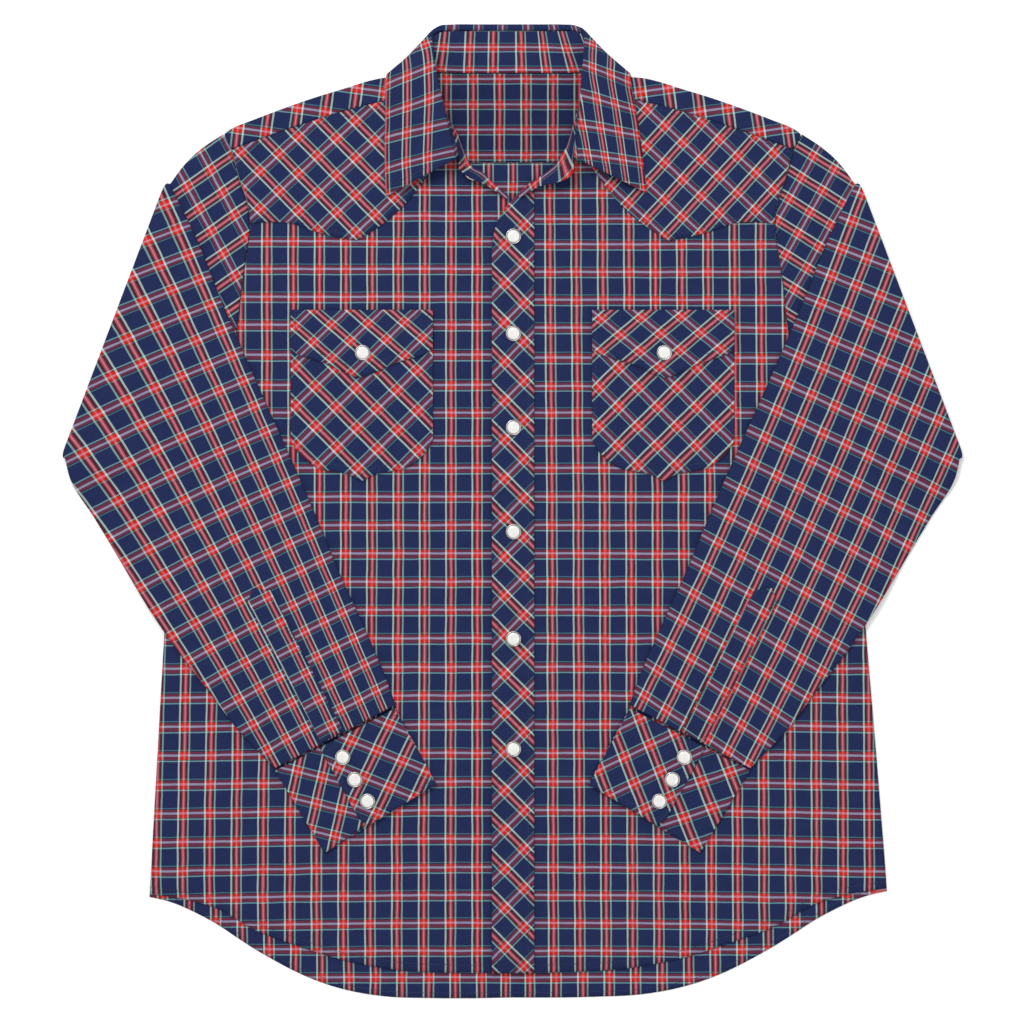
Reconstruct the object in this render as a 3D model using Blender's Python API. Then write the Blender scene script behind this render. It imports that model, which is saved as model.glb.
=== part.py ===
"""Western snap shirt, laid flat on its back with both sleeves folded in over the front.

+X is the wearer's left, +Y runs up to the collar, +Z is up off the table. Every cloth piece is a thin
wall made from its middle surface. The tables are in millimetres, and make_sheet turns them into metres.
"""
import math

import bpy
from mathutils import Vector

MM = 0.001
CLOTH = 1.0          # wall of every cloth piece
GAP = 0.3            # clearance between neighbouring pieces
LAYER = CLOTH + GAP  # one more thickness of cloth in a stack
BACK = CLOTH / 2     # middle surface of the back, which lies on the table
FRONT = 4.1          # middle surface of the front panels, held up by the air between front and back
EASE = 14.0          # width over which the front comes down to the back at side and hem

TUBE_HALF = 1.8      # half the height between a flattened sleeve's two layers
TURN = 2.45          # radius at which the flattened sleeve folds over itself
SAG_FROM = 12.0      # how far past the body's side the folded sleeve starts to come down
SAG = 30.0           # width over which it comes down to the table
OVER_FRONT = FRONT + CLOTH / 2 + GAP  # underside of what lies on the front panels

PLACKET_IN = 21.3    # inner edge of the placket, past the centre line
PLACKET_OUT = 17.9   # its free edge, on the wearer's right of the centre line
WRAP_LEVEL = 4.7     # middle surface of the shoulder wrap on the front side

SNAP_CAP = 5.6       # radius of a snap's pearl cap
SNAP_RIM = 6.7       # outer radius of its metal rim
SNAP_HEIGHT = 2.3
SNAP_SIDES = 16

# Outline of one half, as distance from the centre line and height up the shirt. Each is mirrored.
ARMHOLE = (  # x, y from the shoulder's outer point down to the underarm
    (252.0, 328.8), (244.4, 314.6), (241.6, 304.0), (236.5, 286.0), (229.8, 266.0), (228.4, 250.0),
    (231.0, 226.0), (235.5, 195.0), (239.0, 163.0), (247.0, 129.0), (266.0, 97.0), (296.0, 69.0),
)
SIDE = (  # x, y from the underarm down to the front hem's corner
    (296.0, 69.0), (301.0, -10.0), (306.0, -104.0), (311.0, -190.0), (315.5, -270.0),
    (318.3, -317.5), (318.7, -324.5), (319.0, -331.5),
)
SHOULDER = (  # x, y of the fold over the shoulder, from the armhole in to the neck
    (252.0, 328.8), (244.3, 333.6), (226.9, 340.6), (209.0, 347.5), (189.9, 354.5), (169.0, 361.5),
    (146.3, 368.4), (124.1, 375.2), (112.0, 377.6), (105.5, 378.0), (98.0, 379.0), (87.0, 381.0),
)
FRONT_SEAM = (  # x, y where the shoulder wrap meets front panel and front yoke
    (244.4, 315.0), (200.0, 331.0), (146.0, 348.5), (107.0, 358.0), (80.0, 362.0),
)
BACK_HEM = (  # x, y of the back tail from its side corner to the middle
    (319.5, -334.0), (300.0, -338.8), (276.1, -349.3), (257.4, -359.7), (241.7, -370.2),
    (225.6, -380.6), (207.3, -391.1), (187.3, -401.5), (161.1, -412.0), (134.0, -419.0),
    (111.0, -422.4), (70.0, -424.2), (0.0, -424.2),
)
FRONT_HEM = (  # x, y of the front tail, shorter than the back
    (319.0, -331.5), (289.0, -336.0), (258.0, -345.0), (229.0, -362.0), (184.0, -379.0),
    (150.0, -390.0), (122.0, -396.0), (98.0, -399.5), (50.0, -402.2), (0.0, -402.4),
)
FRONT_YOKE_TIP = (  # x, y of the front yoke's lower edge, from the armhole to the neck
    (228.4, 250.2), (192.4, 250.3), (172.5, 243.5), (149.4, 237.6), (135.0, 235.6), (115.8, 247.9),
    (97.5, 263.0), (85.8, 276.1), (68.0, 301.0), (57.0, 326.0),
)
NECK_RIGHT = (  # x, y of the wearer's right neck edge, from the shoulder wrap to the centre strip
    (-80.0, 361.6), (-67.0, 351.2), (-57.0, 342.3), (-48.3, 328.4), (-43.1, 315.3), (-40.0, 308.5),
    (-37.0, 301.4), (-23.0, 292.0),
)
NECK_LEFT = (  # x, y of the wearer's left neck edge, from the shoulder wrap to the centre strip
    (80.0, 361.6), (70.0, 358.5), (58.8, 352.0), (53.6, 337.0), (51.0, 328.4), (47.5, 317.5),
    (37.9, 301.0), (23.0, 289.0),
)
CENTRE = 23.0        # outer line of the centre strip, where one front laps over the other
STRIP_LEFT = (  # y on the outer line, x and y of the front edge, for the lap on top
    (289.0, 1.0, 271.6), (272.0, -6.5, 263.0), (256.0, -12.6, 252.6), (238.0, -16.5, 237.8),
    (225.0, -17.6, 225.0), (100.0, -17.6, 100.0), (-60.0, -17.6, -60.0), (-230.0, -17.6, -230.0),
    (-388.4, -17.6, -388.4), (-395.4, -17.6, -395.4), (-402.4, -17.6, -402.4),
)
STRIP_RIGHT = (  # the same for the wearer's right front, whose edge lies hidden under the lap
    (292.0, 0.0, 271.0), (272.0, 9.0, 264.5), (256.0, 17.0, 256.0), (238.0, 17.6, 238.0),
    (225.0, 17.6, 225.0), (100.0, 17.6, 100.0), (-60.0, 17.6, -60.0), (-230.0, 17.6, -230.0),
    (-388.4, 17.6, -388.4), (-395.4, 17.6, -395.4), (-402.4, 17.6, -402.4),
)
POCKET_MIDDLE = 131.2
POCKET_TOP = 172.0
POCKET_FOOT = (  # offset from the pocket's middle, y of its lower edge
    (-61.9, 62.0), (-57.0, 53.0), (-47.0, 43.0), (-37.0, 37.0), (-25.0, 34.5), (-12.0, 32.0),
    (0.0, 25.7), (12.0, 32.0), (25.0, 34.5), (37.0, 37.0), (47.0, 43.0), (57.0, 53.0), (61.9, 62.0),
)
FLAP_TOP = 175.0
FLAP_FOOT = (  # offset from the pocket's middle outwards, y of the flap's lower edge
    (-61.9, 141.0), (-52.0, 135.4), (-40.0, 132.0), (-25.0, 127.0), (-12.0, 120.5), (2.0, 115.6),
    (15.0, 120.5), (28.0, 127.0), (43.0, 132.0), (55.0, 136.0), (61.9, 141.0),
)

# The sleeve as it lies after its fold: the edge nearer the middle and the outer edge, armhole to cuff.
SLEEVE_FOLD_TOP = (298.6, 284.0)
SLEEVE_FOLD_LOW = (388.8, 45.9)
SLEEVE_LOW = (  # inner x, y and outer x, y of each section after the fold
    (274.8, 236.0, 384.5, 28.0),
    (253.0, 181.2, 364.0, -6.0),
    (236.5, 142.8, 352.3, -25.3),
    (217.5, 99.5, 331.4, -60.1),
    (194.9, 49.6, 309.6, -94.9),
    (173.5, 0.5, 287.0, -127.0),
    (151.0, -53.5, 264.0, -156.5),
    (127.6, -105.1, 239.5, -189.0),
    (109.3, -148.4, 219.0, -211.0),
    (102.2, -168.7, 206.6, -223.6),
)
SLEEVE_PLACKET = (223.4, -67.9, 156.6, -196.0)  # x, y of the strip's middle line, top end and cuff end
SLEEVE_PLACKET_WIDE = 22.0

# The cuff's band as it lies: upper end and lower end of each section, and its level.
CUFF_UNDER = 7.4
CUFF_LOW = OVER_FRONT + CLOTH / 2
CUFF_OVER = 8.7
CUFF_BAND = (  # upper x, y, lower x, y, level, from the hidden lap round to the visible edge
    (147.0, -195.5, 114.0, -262.0, CUFF_UNDER),
    (175.5, -210.0, 141.5, -283.0, CUFF_UNDER),
    (205.6, -225.3, 162.5, -297.0, CUFF_UNDER),
    (205.6, -225.3, 162.5, -297.0, CUFF_LOW),
    (154.0, -198.5, 114.5, -267.5, CUFF_LOW),
    (103.4, -172.6, 67.6, -238.6, CUFF_LOW),
    (103.4, -172.6, 67.6, -238.6, CUFF_OVER),
    (134.0, -188.7, 98.0, -257.0, CUFF_OVER),
    (160.0, -202.0, 125.5, -273.3, CUFF_OVER),
    (167.6, -206.0, 133.6, -267.5, CUFF_OVER),
)
CUFF_SNAPS = ((148.4, -213.4), (138.0, -232.8), (126.8, -251.6))

# The collar, a row per section from the wearer's right front round the back to the left front.
# seam: where the stand is sewn on; roll: the fold line; edge: the leaf's outer edge.
# A row with no edge is a part of the stand that reaches past the leaf.
COLLAR = (  # seam x, y, z, roll x, y, z, radius of the roll, edge x, y, z
    (-3.5, 274.4, 6.3, -5.2, 270.8, 8.4, 0.0, None),
    (-16.3, 285.2, 6.1, -19.5, 281.0, 11.0, 0.0, None),
    (-25.0, 293.9, 6.0, -33.0, 287.5, 15.0, 0.0, None),
    (-37.3, 301.9, 5.9, -45.0, 295.0, 18.5, 0.0, None),
    (-43.4, 315.8, 5.9, -49.5, 303.5, 20.5, 1.4, (-110.0, 273.5, 7.3)),
    (-48.6, 328.9, 6.6, -53.5, 320.0, 21.5, 1.5, (-111.0, 298.0, 6.9)),
    (-57.0, 342.9, 6.8, -57.5, 338.0, 22.0, 1.5, (-111.0, 322.0, 6.9)),
    (-67.0, 351.9, 6.8, -61.0, 355.0, 22.0, 1.5, (-110.5, 343.0, 6.9)),
    (-78.5, 361.5, 6.8, -64.5, 371.0, 21.0, 1.5, (-110.2, 358.0, 6.9)),
    (-83.5, 370.0, 6.4, -67.0, 386.0, 18.5, 1.4, (-110.0, 370.0, 6.8)),
    (-84.5, 377.0, 6.0, -69.0, 400.0, 13.5, 1.2, (-109.8, 377.4, 6.0)),
    (-82.5, 383.0, 4.7, -70.3, 412.0, 8.0, 1.3, (-108.2, 381.0, 3.2)),
    (-77.5, 383.2, 3.2, -68.8, 419.0, 4.0, 0.8, (-104.5, 379.2, 0.5)),
    (-69.0, 382.8, 2.4, -63.0, 423.0, 2.0, 0.7, (-92.0, 373.0, 0.5)),
    (-58.0, 382.2, 1.8, -54.0, 424.0, 1.15, 0.65, (-70.0, 372.0, 0.5)),
    (-30.0, 381.9, 1.8, -29.0, 424.2, 1.15, 0.65, (-34.0, 372.0, 0.5)),
    (0.0, 381.9, 1.8, 0.0, 424.2, 1.15, 0.65, (0.0, 372.0, 0.5)),
    (30.0, 381.9, 1.8, 25.0, 424.2, 1.15, 0.65, (32.0, 372.0, 0.5)),
    (57.0, 382.2, 1.8, 44.0, 424.1, 1.15, 0.65, (62.0, 372.0, 0.5)),
    (68.0, 382.8, 2.4, 54.0, 423.3, 2.0, 0.7, (86.0, 373.0, 0.5)),
    (76.5, 383.2, 3.1, 60.0, 420.3, 3.8, 1.0, (97.5, 379.6, 0.5)),
    (81.0, 383.3, 4.4, 62.2, 414.0, 7.0, 1.4, (101.0, 382.0, 2.8)),
    (84.0, 379.0, 5.8, 62.6, 406.0, 11.5, 1.2, (102.6, 379.6, 5.6)),
    (84.3, 372.5, 6.3, 61.8, 394.0, 16.0, 1.4, (103.0, 374.0, 6.6)),
    (79.5, 362.5, 6.8, 60.5, 380.0, 19.5, 1.5, (104.0, 365.0, 6.8)),
    (70.0, 359.5, 6.8, 59.7, 366.0, 21.5, 1.5, (106.5, 352.0, 6.9)),
    (59.5, 353.0, 6.8, 58.8, 350.0, 22.0, 1.5, (109.4, 337.0, 6.9)),
    (54.4, 340.0, 6.6, 58.0, 333.0, 22.0, 1.5, (112.0, 317.0, 6.9)),
    (51.2, 329.5, 6.6, 57.5, 317.0, 21.5, 1.5, (114.6, 296.0, 6.9)),
    (47.6, 318.4, 6.6, 57.0, 303.0, 20.5, 1.4, (116.7, 276.5, 7.3)),
    (43.2, 310.5, 6.2, 50.0, 290.0, 19.0, 0.0, None),
    (37.9, 301.8, 6.2, 38.0, 284.5, 17.5, 0.0, None),
    (24.0, 290.4, 7.4, 24.4, 282.0, 14.5, 0.0, None),
    (10.9, 280.2, 8.3, 13.7, 276.3, 11.5, 0.0, None),
    (4.0, 274.8, 8.6, 6.2, 272.0, 10.2, 0.0, None),
)
COLLAR_TURN = 4.4    # how far the leaf reaches past the roll on to the stand's inside
COLLAR_GAP = 0.95    # from there square across to the stand's upper edge
LEAF_PUFF = 2.0      # how far the leaf bows out between roll and edge
LEAF_ROWS = 5


# --- colours ------------------------------------------------------------------------------------

def make_material(name, colour, roughness, metallic):
    material = bpy.data.materials.new(name)
    material.use_nodes = True
    shader = material.node_tree.nodes["Principled BSDF"]
    shader.inputs["Base Color"].default_value = (*colour, 1.0)
    shader.inputs["Roughness"].default_value = roughness
    shader.inputs["Metallic"].default_value = metallic
    material.diffuse_color = (*colour, 1.0)
    return material


# --- lines and plans -----------------------------------------------------------------------------

def smooth(share):
    share = min(max(share, 0.0), 1.0)
    return share * share * (3.0 - 2.0 * share)


def read(table, x):
    """The second column of a table at x in its first, which may rise or fall."""
    rows = sorted((row[0], row[1]) for row in table)
    if x <= rows[0][0]:
        return rows[0][1]
    for (x0, y0), (x1, y1) in zip(rows, rows[1:]):
        if x <= x1:
            return y0 + (y1 - y0) * (x - x0) / (x1 - x0)
    return rows[-1][1]


def mirrored(table, side):
    return [(side * x, y) for x, y in table]


def line_at(points, share):
    """The point at a share of the way along a line, counted by its length."""
    points = [Vector(p) for p in points]
    lengths = [(b - a).length for a, b in zip(points, points[1:])]
    at = share * sum(lengths)
    for a, b, length in zip(points, points[1:], lengths):
        if at <= length + 1e-9:
            return a.lerp(b, at / length)
        at -= length
    return points[-1]


def spread(points, shares):
    """Points at these shares along a line, or the line's own points where it has as many."""
    if len(points) == len(shares):
        return [Vector(p) for p in points]
    return [line_at(points, share) for share in shares]


def evenly(count):
    return [i / count for i in range(count + 1)]


def plan_grid(top, bottom, left, right, across, down):
    """Rows of plan points that fill the area between four edges, at shares across and down."""
    top = spread(top, across)
    bottom = spread(bottom, across)
    left = spread(left, down)
    right = spread(right, down)
    rows = []
    for i, v in enumerate(down):
        row = []
        for j, u in enumerate(across):
            sides = left[i] * (1 - u) + right[i] * u
            ends = top[j] * (1 - v) + bottom[j] * v
            corners = (left[0] * (1 - u) * (1 - v) + right[0] * u * (1 - v)
                       + left[-1] * (1 - u) * v + right[-1] * u * v)
            row.append(sides + ends - corners)
        rows.append(row)
    return rows


def lifted(rows, level):
    """Plan rows raised to level(x, y)."""
    return [[Vector((p.x, p.y, level(p.x, p.y))) for p in row] for row in rows]


# --- heights of the layers -----------------------------------------------------------------------

def front_level(x, y):
    """Middle surface of a front panel, which comes down to the back at the side seam and the hem."""
    inside = read([(row[1], row[0]) for row in SIDE], y) - abs(x)
    above = y - read(FRONT_HEM, abs(x))
    return BACK + LAYER + (FRONT - BACK - LAYER) * smooth(min(inside, above) / EASE)


def left_front_level(x, y):
    """The wearer's left front laps over the right one at the centre."""
    return front_level(x, y) + LAYER * smooth((40.0 - x) / 15.0)


def yoke_back_level(x, y):
    """The back yoke, lifted by the collar's leaf that lies beneath it at the neck."""
    return BACK + LAYER * smooth((y - 350.0) / 14.0) * smooth((132.0 - abs(x)) / 20.0)


def sleeve_support(x, y):
    """Underside of the folded sleeve: on the front panel, and down to the table beyond the body."""
    beyond_side = abs(x) - read([(row[1], row[0]) for row in SIDE], y)
    (x0, y0), (x1, y1) = ARMHOLE[-1], SLEEVE_FOLD_LOW
    below_arm = y0 + (y1 - y0) * (abs(x) - x0) / (x1 - x0) - y
    return OVER_FRONT * (1.0 - smooth((min(beyond_side, below_arm) - SAG_FROM) / SAG))


# --- closed walls --------------------------------------------------------------------------------

def grid_faces(rows, columns, first=0, ring=False):
    faces = []
    for i in range(rows - 1):
        for j in range(columns if ring else columns - 1):
            k = (j + 1) % columns
            a, b = first + i * columns + j, first + i * columns + k
            faces.append((a, b, b + columns, a + columns))
    return faces


def make_sheet(name, points, faces, material, wall=CLOTH):
    """A wall of even thickness about a middle surface, closed along its open edges."""
    faces = [tri for a, b, c, d in faces for tri in ((a, b, c), (a, c, d))]
    points = [Vector(p) for p in points]
    normals = [Vector() for _ in points]
    for a, b, c in faces:
        normal = (points[b] - points[a]).cross(points[c] - points[a])
        for corner in (a, b, c):
            normals[corner] += normal.normalized()
    above = [p + n.normalized() * wall / 2 for p, n in zip(points, normals)]
    below = [p - n.normalized() * wall / 2 for p, n in zip(points, normals)]
    count = len(points)
    walls = list(faces)
    walls += [(c + count, b + count, a + count) for a, b, c in faces]
    edges = {(f[i], f[(i + 1) % 3]) for f in faces for i in range(3)}
    for a, b in edges:
        if (b, a) not in edges:
            walls.append((b, a, a + count))
            walls.append((b, a + count, b + count))
    return make_object(name, above + below, walls, material)


def make_object(name, points, faces, material, round_piece=False):
    mesh = bpy.data.meshes.new(name)
    mesh.from_pydata([Vector(p) * MM for p in points], [], faces)
    mesh.validate()
    mesh.materials.append(material)
    mesh.polygons.foreach_set("use_smooth", [round_piece] * len(mesh.polygons))
    made = bpy.data.objects.new(name, mesh)
    bpy.context.scene.collection.objects.link(made)
    return made


def sheet_from_rows(name, rows, material, ring=False):
    """A sheet from rows of points. Rows run down and columns run across, seen from its outer face."""
    points = [p for row in rows for p in row]
    return make_sheet(name, points, grid_faces(len(rows), len(rows[0]), ring=ring), material)


def facing_up(rows):
    """The rows in the order that turns their faces up."""
    a, b, c = rows[0][0], rows[0][1], rows[1][0]
    return rows if (b - a).cross(c - a).z > 0 else rows[::-1]


# --- body ----------------------------------------------------------------------------------------

def make_back_panel(material):
    sides = []
    for side in (-1, 1):
        sides.append(mirrored(ARMHOLE[2:] + SIDE[1:-1] + (BACK_HEM[0],), side))
    top = [(-ARMHOLE[2][0], ARMHOLE[2][1] - GAP), (ARMHOLE[2][0], ARMHOLE[2][1] - GAP)]
    for rail in sides:
        rail[0] = (rail[0][0], rail[0][1] - GAP)
    hem = mirrored(BACK_HEM, -1) + mirrored(BACK_HEM, 1)[-2::-1]
    across, down = evenly(len(hem) - 1), evenly(len(sides[0]) - 1)
    plan = plan_grid(top, hem, sides[0], sides[1], across, down)
    sheet_from_rows("back_panel", facing_up(lifted(plan, lambda x, y: BACK)), material)


YOKE_SHOULDER = (1.0, 0.97, 0.9, 0.83, 0.75, 0.67, 0.58, 0.49, 0.444, 0.418, 0.389, 0.345)
YOKE_NECK = (0.25, 0.12, 0.0, -0.12, -0.25)
YOKE_DOWN = (0.0, 0.24, 0.477, 0.74, 0.88, 1.0)  # rows of the flat part, one of them at the armhole's bend


def yoke_shares():
    """Columns of the back yoke, as shares of its half width."""
    return [-s for s in YOKE_SHOULDER] + [-s for s in YOKE_NECK] + list(YOKE_SHOULDER[::-1])


def yoke_column(share, inset):
    """Flat part of one column, from the back seam up to inset short of the shoulder's fold."""
    fold_x = abs(share) * SHOULDER[0][0]
    on_shoulder = abs(share) >= YOKE_SHOULDER[-1]
    high = read(SHOULDER, fold_x) - inset if on_shoulder else SHOULDER[-1][1]
    low = ARMHOLE[2][1]
    column = []
    for part in YOKE_DOWN:
        y = low + (high - low) * part
        x = share * read([(b, a) for a, b in ARMHOLE[:3]], y)
        column.append(Vector((x, y, yoke_back_level(x, y))))
    return column


def make_back_yoke(material):
    """The outer back yoke: flat under the neck, then folded over each shoulder to the front seam."""
    points = []
    faces = []
    columns = []
    for share in yoke_shares():
        on_shoulder = abs(share) >= YOKE_SHOULDER[-1]
        fold = yoke_back_level(share * SHOULDER[0][0], read(SHOULDER, abs(share) * SHOULDER[0][0]))
        radius = (WRAP_LEVEL - fold) / 2
        column = yoke_column(share, radius + CLOTH / 2)
        if on_shoulder:
            x, y, level = column[-1]
            for angle in (-45, 0, 45, 90):
                lean = math.radians(angle)
                column.append(Vector((x, y + radius * math.cos(lean),
                                      level + radius + radius * math.sin(lean))))
            part = (abs(share) - YOKE_SHOULDER[-1]) / (1 - YOKE_SHOULDER[-1])
            seam_x = FRONT_SEAM[-1][0] + part * (FRONT_SEAM[0][0] - FRONT_SEAM[-1][0])
            seam_y = read(FRONT_SEAM, seam_x) + GAP
            column.append(Vector((math.copysign(seam_x, share), seam_y, WRAP_LEVEL)))
        columns.append((len(points), len(column)))
        points += column
    for (first, tall), (after, next_tall) in zip(columns, columns[1:]):
        for i in range(min(tall, next_tall) - 1):
            faces.append((first + i, after + i, after + i + 1, first + i + 1))
    make_sheet("back_yoke", points, faces, material)


def make_back_yoke_inside(material):
    """The inner back yoke, made from the outer one's points, a layer up and short of the folds."""
    columns = []
    for share in yoke_shares()[1:-1]:
        column = yoke_column(share, (WRAP_LEVEL - BACK) / 2 + CLOTH / 2)
        if abs(share) >= YOKE_SHOULDER[-1]:
            column[-1].y -= 3.5
        columns.append([p + Vector((0.0, 0.0, LAYER)) for p in column])
    sheet_from_rows("back_yoke_inside", columns, material)


FRONT_ACROSS = (0.0, 0.025, 0.05, 0.2, 0.4, 0.6, 0.8, 0.95, 1.0)


def front_grid(side, neck, strip, level):
    """Points and faces of a front: its main part, then the centre strip, which share a column."""
    outer = mirrored(ARMHOLE[1:] + SIDE[1:], side)
    outer[0] = (outer[0][0], outer[0][1] - 0.6)
    seam = [(x * side, y - GAP) for x, y in FRONT_SEAM]
    seam[0] = outer[0]
    seam[-1] = (neck[0][0], neck[0][1] - GAP)
    inner = [seam[-1]] + list(neck[1:]) + [(side * CENTRE, row[0]) for row in strip[1:]]
    hem = mirrored(FRONT_HEM[:-1] + ((CENTRE, FRONT_HEM[-1][1]),), side)
    plan = plan_grid(seam, hem, outer, inner, FRONT_ACROSS, evenly(len(outer) - 1))
    rows = lifted(plan, level)
    points = [p for row in rows for p in row]
    faces = grid_faces(len(rows), len(rows[0]))
    wide = len(FRONT_ACROSS)
    first = len(neck) - 1
    strips = strip_rows(side, strip, 0.0, 0.0)
    begin = len(points)
    points += [Vector((p.x, p.y, level(p.x, p.y))) for row in strips for p in row[1:]]
    more = len(strips[0]) - 1
    for i in range(len(strips) - 1):
        here = [(first + i) * wide + wide - 1] + [begin + i * more + k for k in range(more)]
        down = [(first + i + 1) * wide + wide - 1] + [begin + (i + 1) * more + k for k in range(more)]
        for k in range(more):
            faces.append((here[k], here[k + 1], down[k + 1], down[k]))
    return points, faces


def strip_rows(side, strip, inward, outward):
    """Plan rows of the centre strip, its outer line moved inward and its front edge moved outward."""
    rows = []
    for y, edge_x, edge_y in strip:
        start = Vector((side * (CENTRE - inward), y))
        end = Vector((edge_x - side * outward, edge_y))
        rows.append([start.lerp(end, share) for share in evenly(2)])
    return rows


def make_front(name, side, neck, strip, level, material):
    """One front panel. Its armhole keeps the armhole's own points, which the sleeve shares."""
    points, faces = front_grid(side, neck, strip, level)
    if side > 0:
        faces = [face[::-1] for face in faces]
    make_sheet(name, points, [face[::-1] for face in faces], material)


def make_placket(material):
    """The band on the wearer's left front, made from the points of that front's centre strip."""
    rows = strip_rows(1, STRIP_LEFT, CENTRE - PLACKET_IN, PLACKET_OUT - 17.6)
    rows = lifted(rows, lambda x, y: left_front_level(x, y) + LAYER)
    sheet_from_rows("placket", facing_up(rows), material)


def make_front_yoke(name, side, neck, material):
    """A pointed front yoke, lying on its front panel."""
    top = [(x * side, y - GAP) for x, y in FRONT_SEAM]
    top[0] = (side * ARMHOLE[1][0], ARMHOLE[1][1] - 0.6)
    top[-1] = (neck[0][0], neck[0][1] - GAP)
    outer = [(x * side, y) for x, y in ARMHOLE[1:6]]
    outer[0] = top[0]
    low = mirrored(FRONT_YOKE_TIP, side)
    inner = [top[-1]] + [p for p in neck[1:] if p[1] > low[-1][1]] + [low[-1]]
    plan = plan_grid(top, low, outer, inner, evenly(len(low) - 1), evenly(len(outer) - 1))
    rows = lifted(plan, lambda x, y: front_level(x, y) + LAYER)
    sheet_from_rows(name, facing_up(rows), material)


def make_patch(name, side, top, foot, layers, material):
    """A pocket or a flap: straight top and sides, with a pointed lower edge."""
    low = [(side * (POCKET_MIDDLE + off), y) for off, y in foot]
    high = [(x, top) for x, _ in low]
    ends = [high[0], low[0]], [high[-1], low[-1]]
    rows = plan_grid(high, low, *ends, evenly(len(low) - 1), evenly(4))
    rows = lifted(rows, lambda x, y: front_level(x, y) + layers * LAYER)
    sheet_from_rows(name, facing_up(rows), material)


# --- sleeves and cuffs ---------------------------------------------------------------------------

def armhole_shares():
    """Where the armhole's own points lie along it, for the sleeve to share them."""
    points = [Vector(p) for p in ARMHOLE]
    lengths = [(b - a).length for a, b in zip(points, points[1:])]
    total = sum(lengths)
    return [sum(lengths[:i]) / total for i in range(len(points))]


def tube_section(start, end, level, curved=None):
    """Upper layer then lower layer of a flattened tube between two plan points, as (point, height)."""
    shares = armhole_shares()[1:-1]
    upper = [(0.004, 0.5), (0.02, 0.9)] + [(s, 1.0) for s in shares] + [(0.98, 0.9), (0.996, 0.5)]
    ring = [(0.0, 0.0)] + upper + [(1.0, 0.0)] + [(s, -h) for s, h in upper[::-1]]
    found = []
    for share, height in ring:
        plan = line_at(curved, share) if curved else Vector(start).lerp(Vector(end), share)
        found.append((plan, level(plan), height * TUBE_HALF))
    return found


def make_sleeve(name, side, material):
    """The flattened sleeve: out from the armhole, folded over, and down to the cuff."""
    seam = [(x + 0.75, y) for x, y in ARMHOLE]
    seam[0] = (ARMHOLE[0][0] + 0.7, ARMHOLE[0][1] - 1.8)
    seam[-1] = (ARMHOLE[-1][0] + 0.8, ARMHOLE[-1][1] + 0.5)
    top, low = Vector(SLEEVE_FOLD_TOP), Vector(SLEEVE_FOLD_LOW)
    outward = Vector((-(low - top).y, (low - top).x)).normalized()
    flat = lambda p: BACK + TUBE_HALF
    rings = []
    for share in (0.0, 0.35, 0.7, 1.0):
        ring = []
        for (a, z, h), (b, _, _) in zip(tube_section(None, None, flat, seam),
                                        tube_section(top, low, flat)):
            p = a.lerp(b, share)
            ring.append(Vector((p.x, p.y, z + h)))
        rings.append(ring)
    for angle in (30, 60, 90, 120, 150, 180):
        lean = math.radians(angle)
        ring = []
        for plan, z, h in tube_section(top, low, flat):
            reach = (TURN - h) * math.sin(lean)
            p = plan + outward * reach
            ring.append(Vector((p.x, p.y, z + TURN - (TURN - h) * math.cos(lean))))
        rings.append(ring)
    rest = lambda p: sleeve_support(p.x, p.y) + CLOTH / 2 + TUBE_HALF
    for x0, y0, x1, y1 in SLEEVE_LOW:
        ring = []
        for plan, z, h in tube_section((x0, y0), (x1, y1), rest):
            ring.append(Vector((plan.x, plan.y, z - h)))
        rings.append(ring)
    rings = [[Vector((side * p.x, p.y, p.z)) for p in ring] for ring in rings]
    if side > 0:
        rings = rings[::-1]
    sheet_from_rows(name, rings, material, ring=True)


def make_sleeve_placket(name, side, material):
    """The strip sewn on the sleeve's upper layer where it opens above the cuff."""
    x0, y0, x1, y1 = SLEEVE_PLACKET
    start, end = Vector((x0, y0)), Vector((x1, y1))
    across = Vector((-(end - start).y, (end - start).x)).normalized() * SLEEVE_PLACKET_WIDE / 2
    rows = []
    for i in range(9):
        middle = start.lerp(end, i / 8)
        row = []
        for j in (-1, 0, 1):
            p = middle + across * j
            z = sleeve_support(p.x, p.y) + CLOTH + 2 * TUBE_HALF + GAP + CLOTH / 2
            row.append(Vector((side * p.x, p.y, z)))
        rows.append(row)
    sheet_from_rows(name, facing_up(rows), material)


def make_cuff(name, side, material):
    """One band wound round the wrist: hidden lap, outer fold, lower layer, inner fold, visible lap."""
    sections = []
    for (row, after) in zip(CUFF_BAND, CUFF_BAND[1:] + (None,)):
        x0, y0, x1, y1, z = row
        high, low = Vector((x0, y0)), Vector((x1, y1))
        sections.append((high, low, z))
        if after and (x0, y0) == after[:2]:
            radius = (after[4] - z) / 2
            way = Vector(((low - high).y, -(low - high).x)).normalized()
            away = way if x0 < 150 else -way
            if away.x * (x0 - 150) < 0:
                away = -away
            for angle in (-45, 0, 45):
                lean = math.radians(angle)
                off = away * abs(radius) * math.cos(lean)
                sections.append((high + off, low + off, z + radius + radius * math.sin(lean)))
    rows = []
    for high, low, z in sections:
        row = [high.lerp(low, i / 3) for i in range(4)]
        rows.append([Vector((side * p.x, p.y, z)) for p in row])
    if side > 0:
        rows = [row[::-1] for row in rows]
    sheet_from_rows(name, rows, material)


# --- collar --------------------------------------------------------------------------------------

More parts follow.
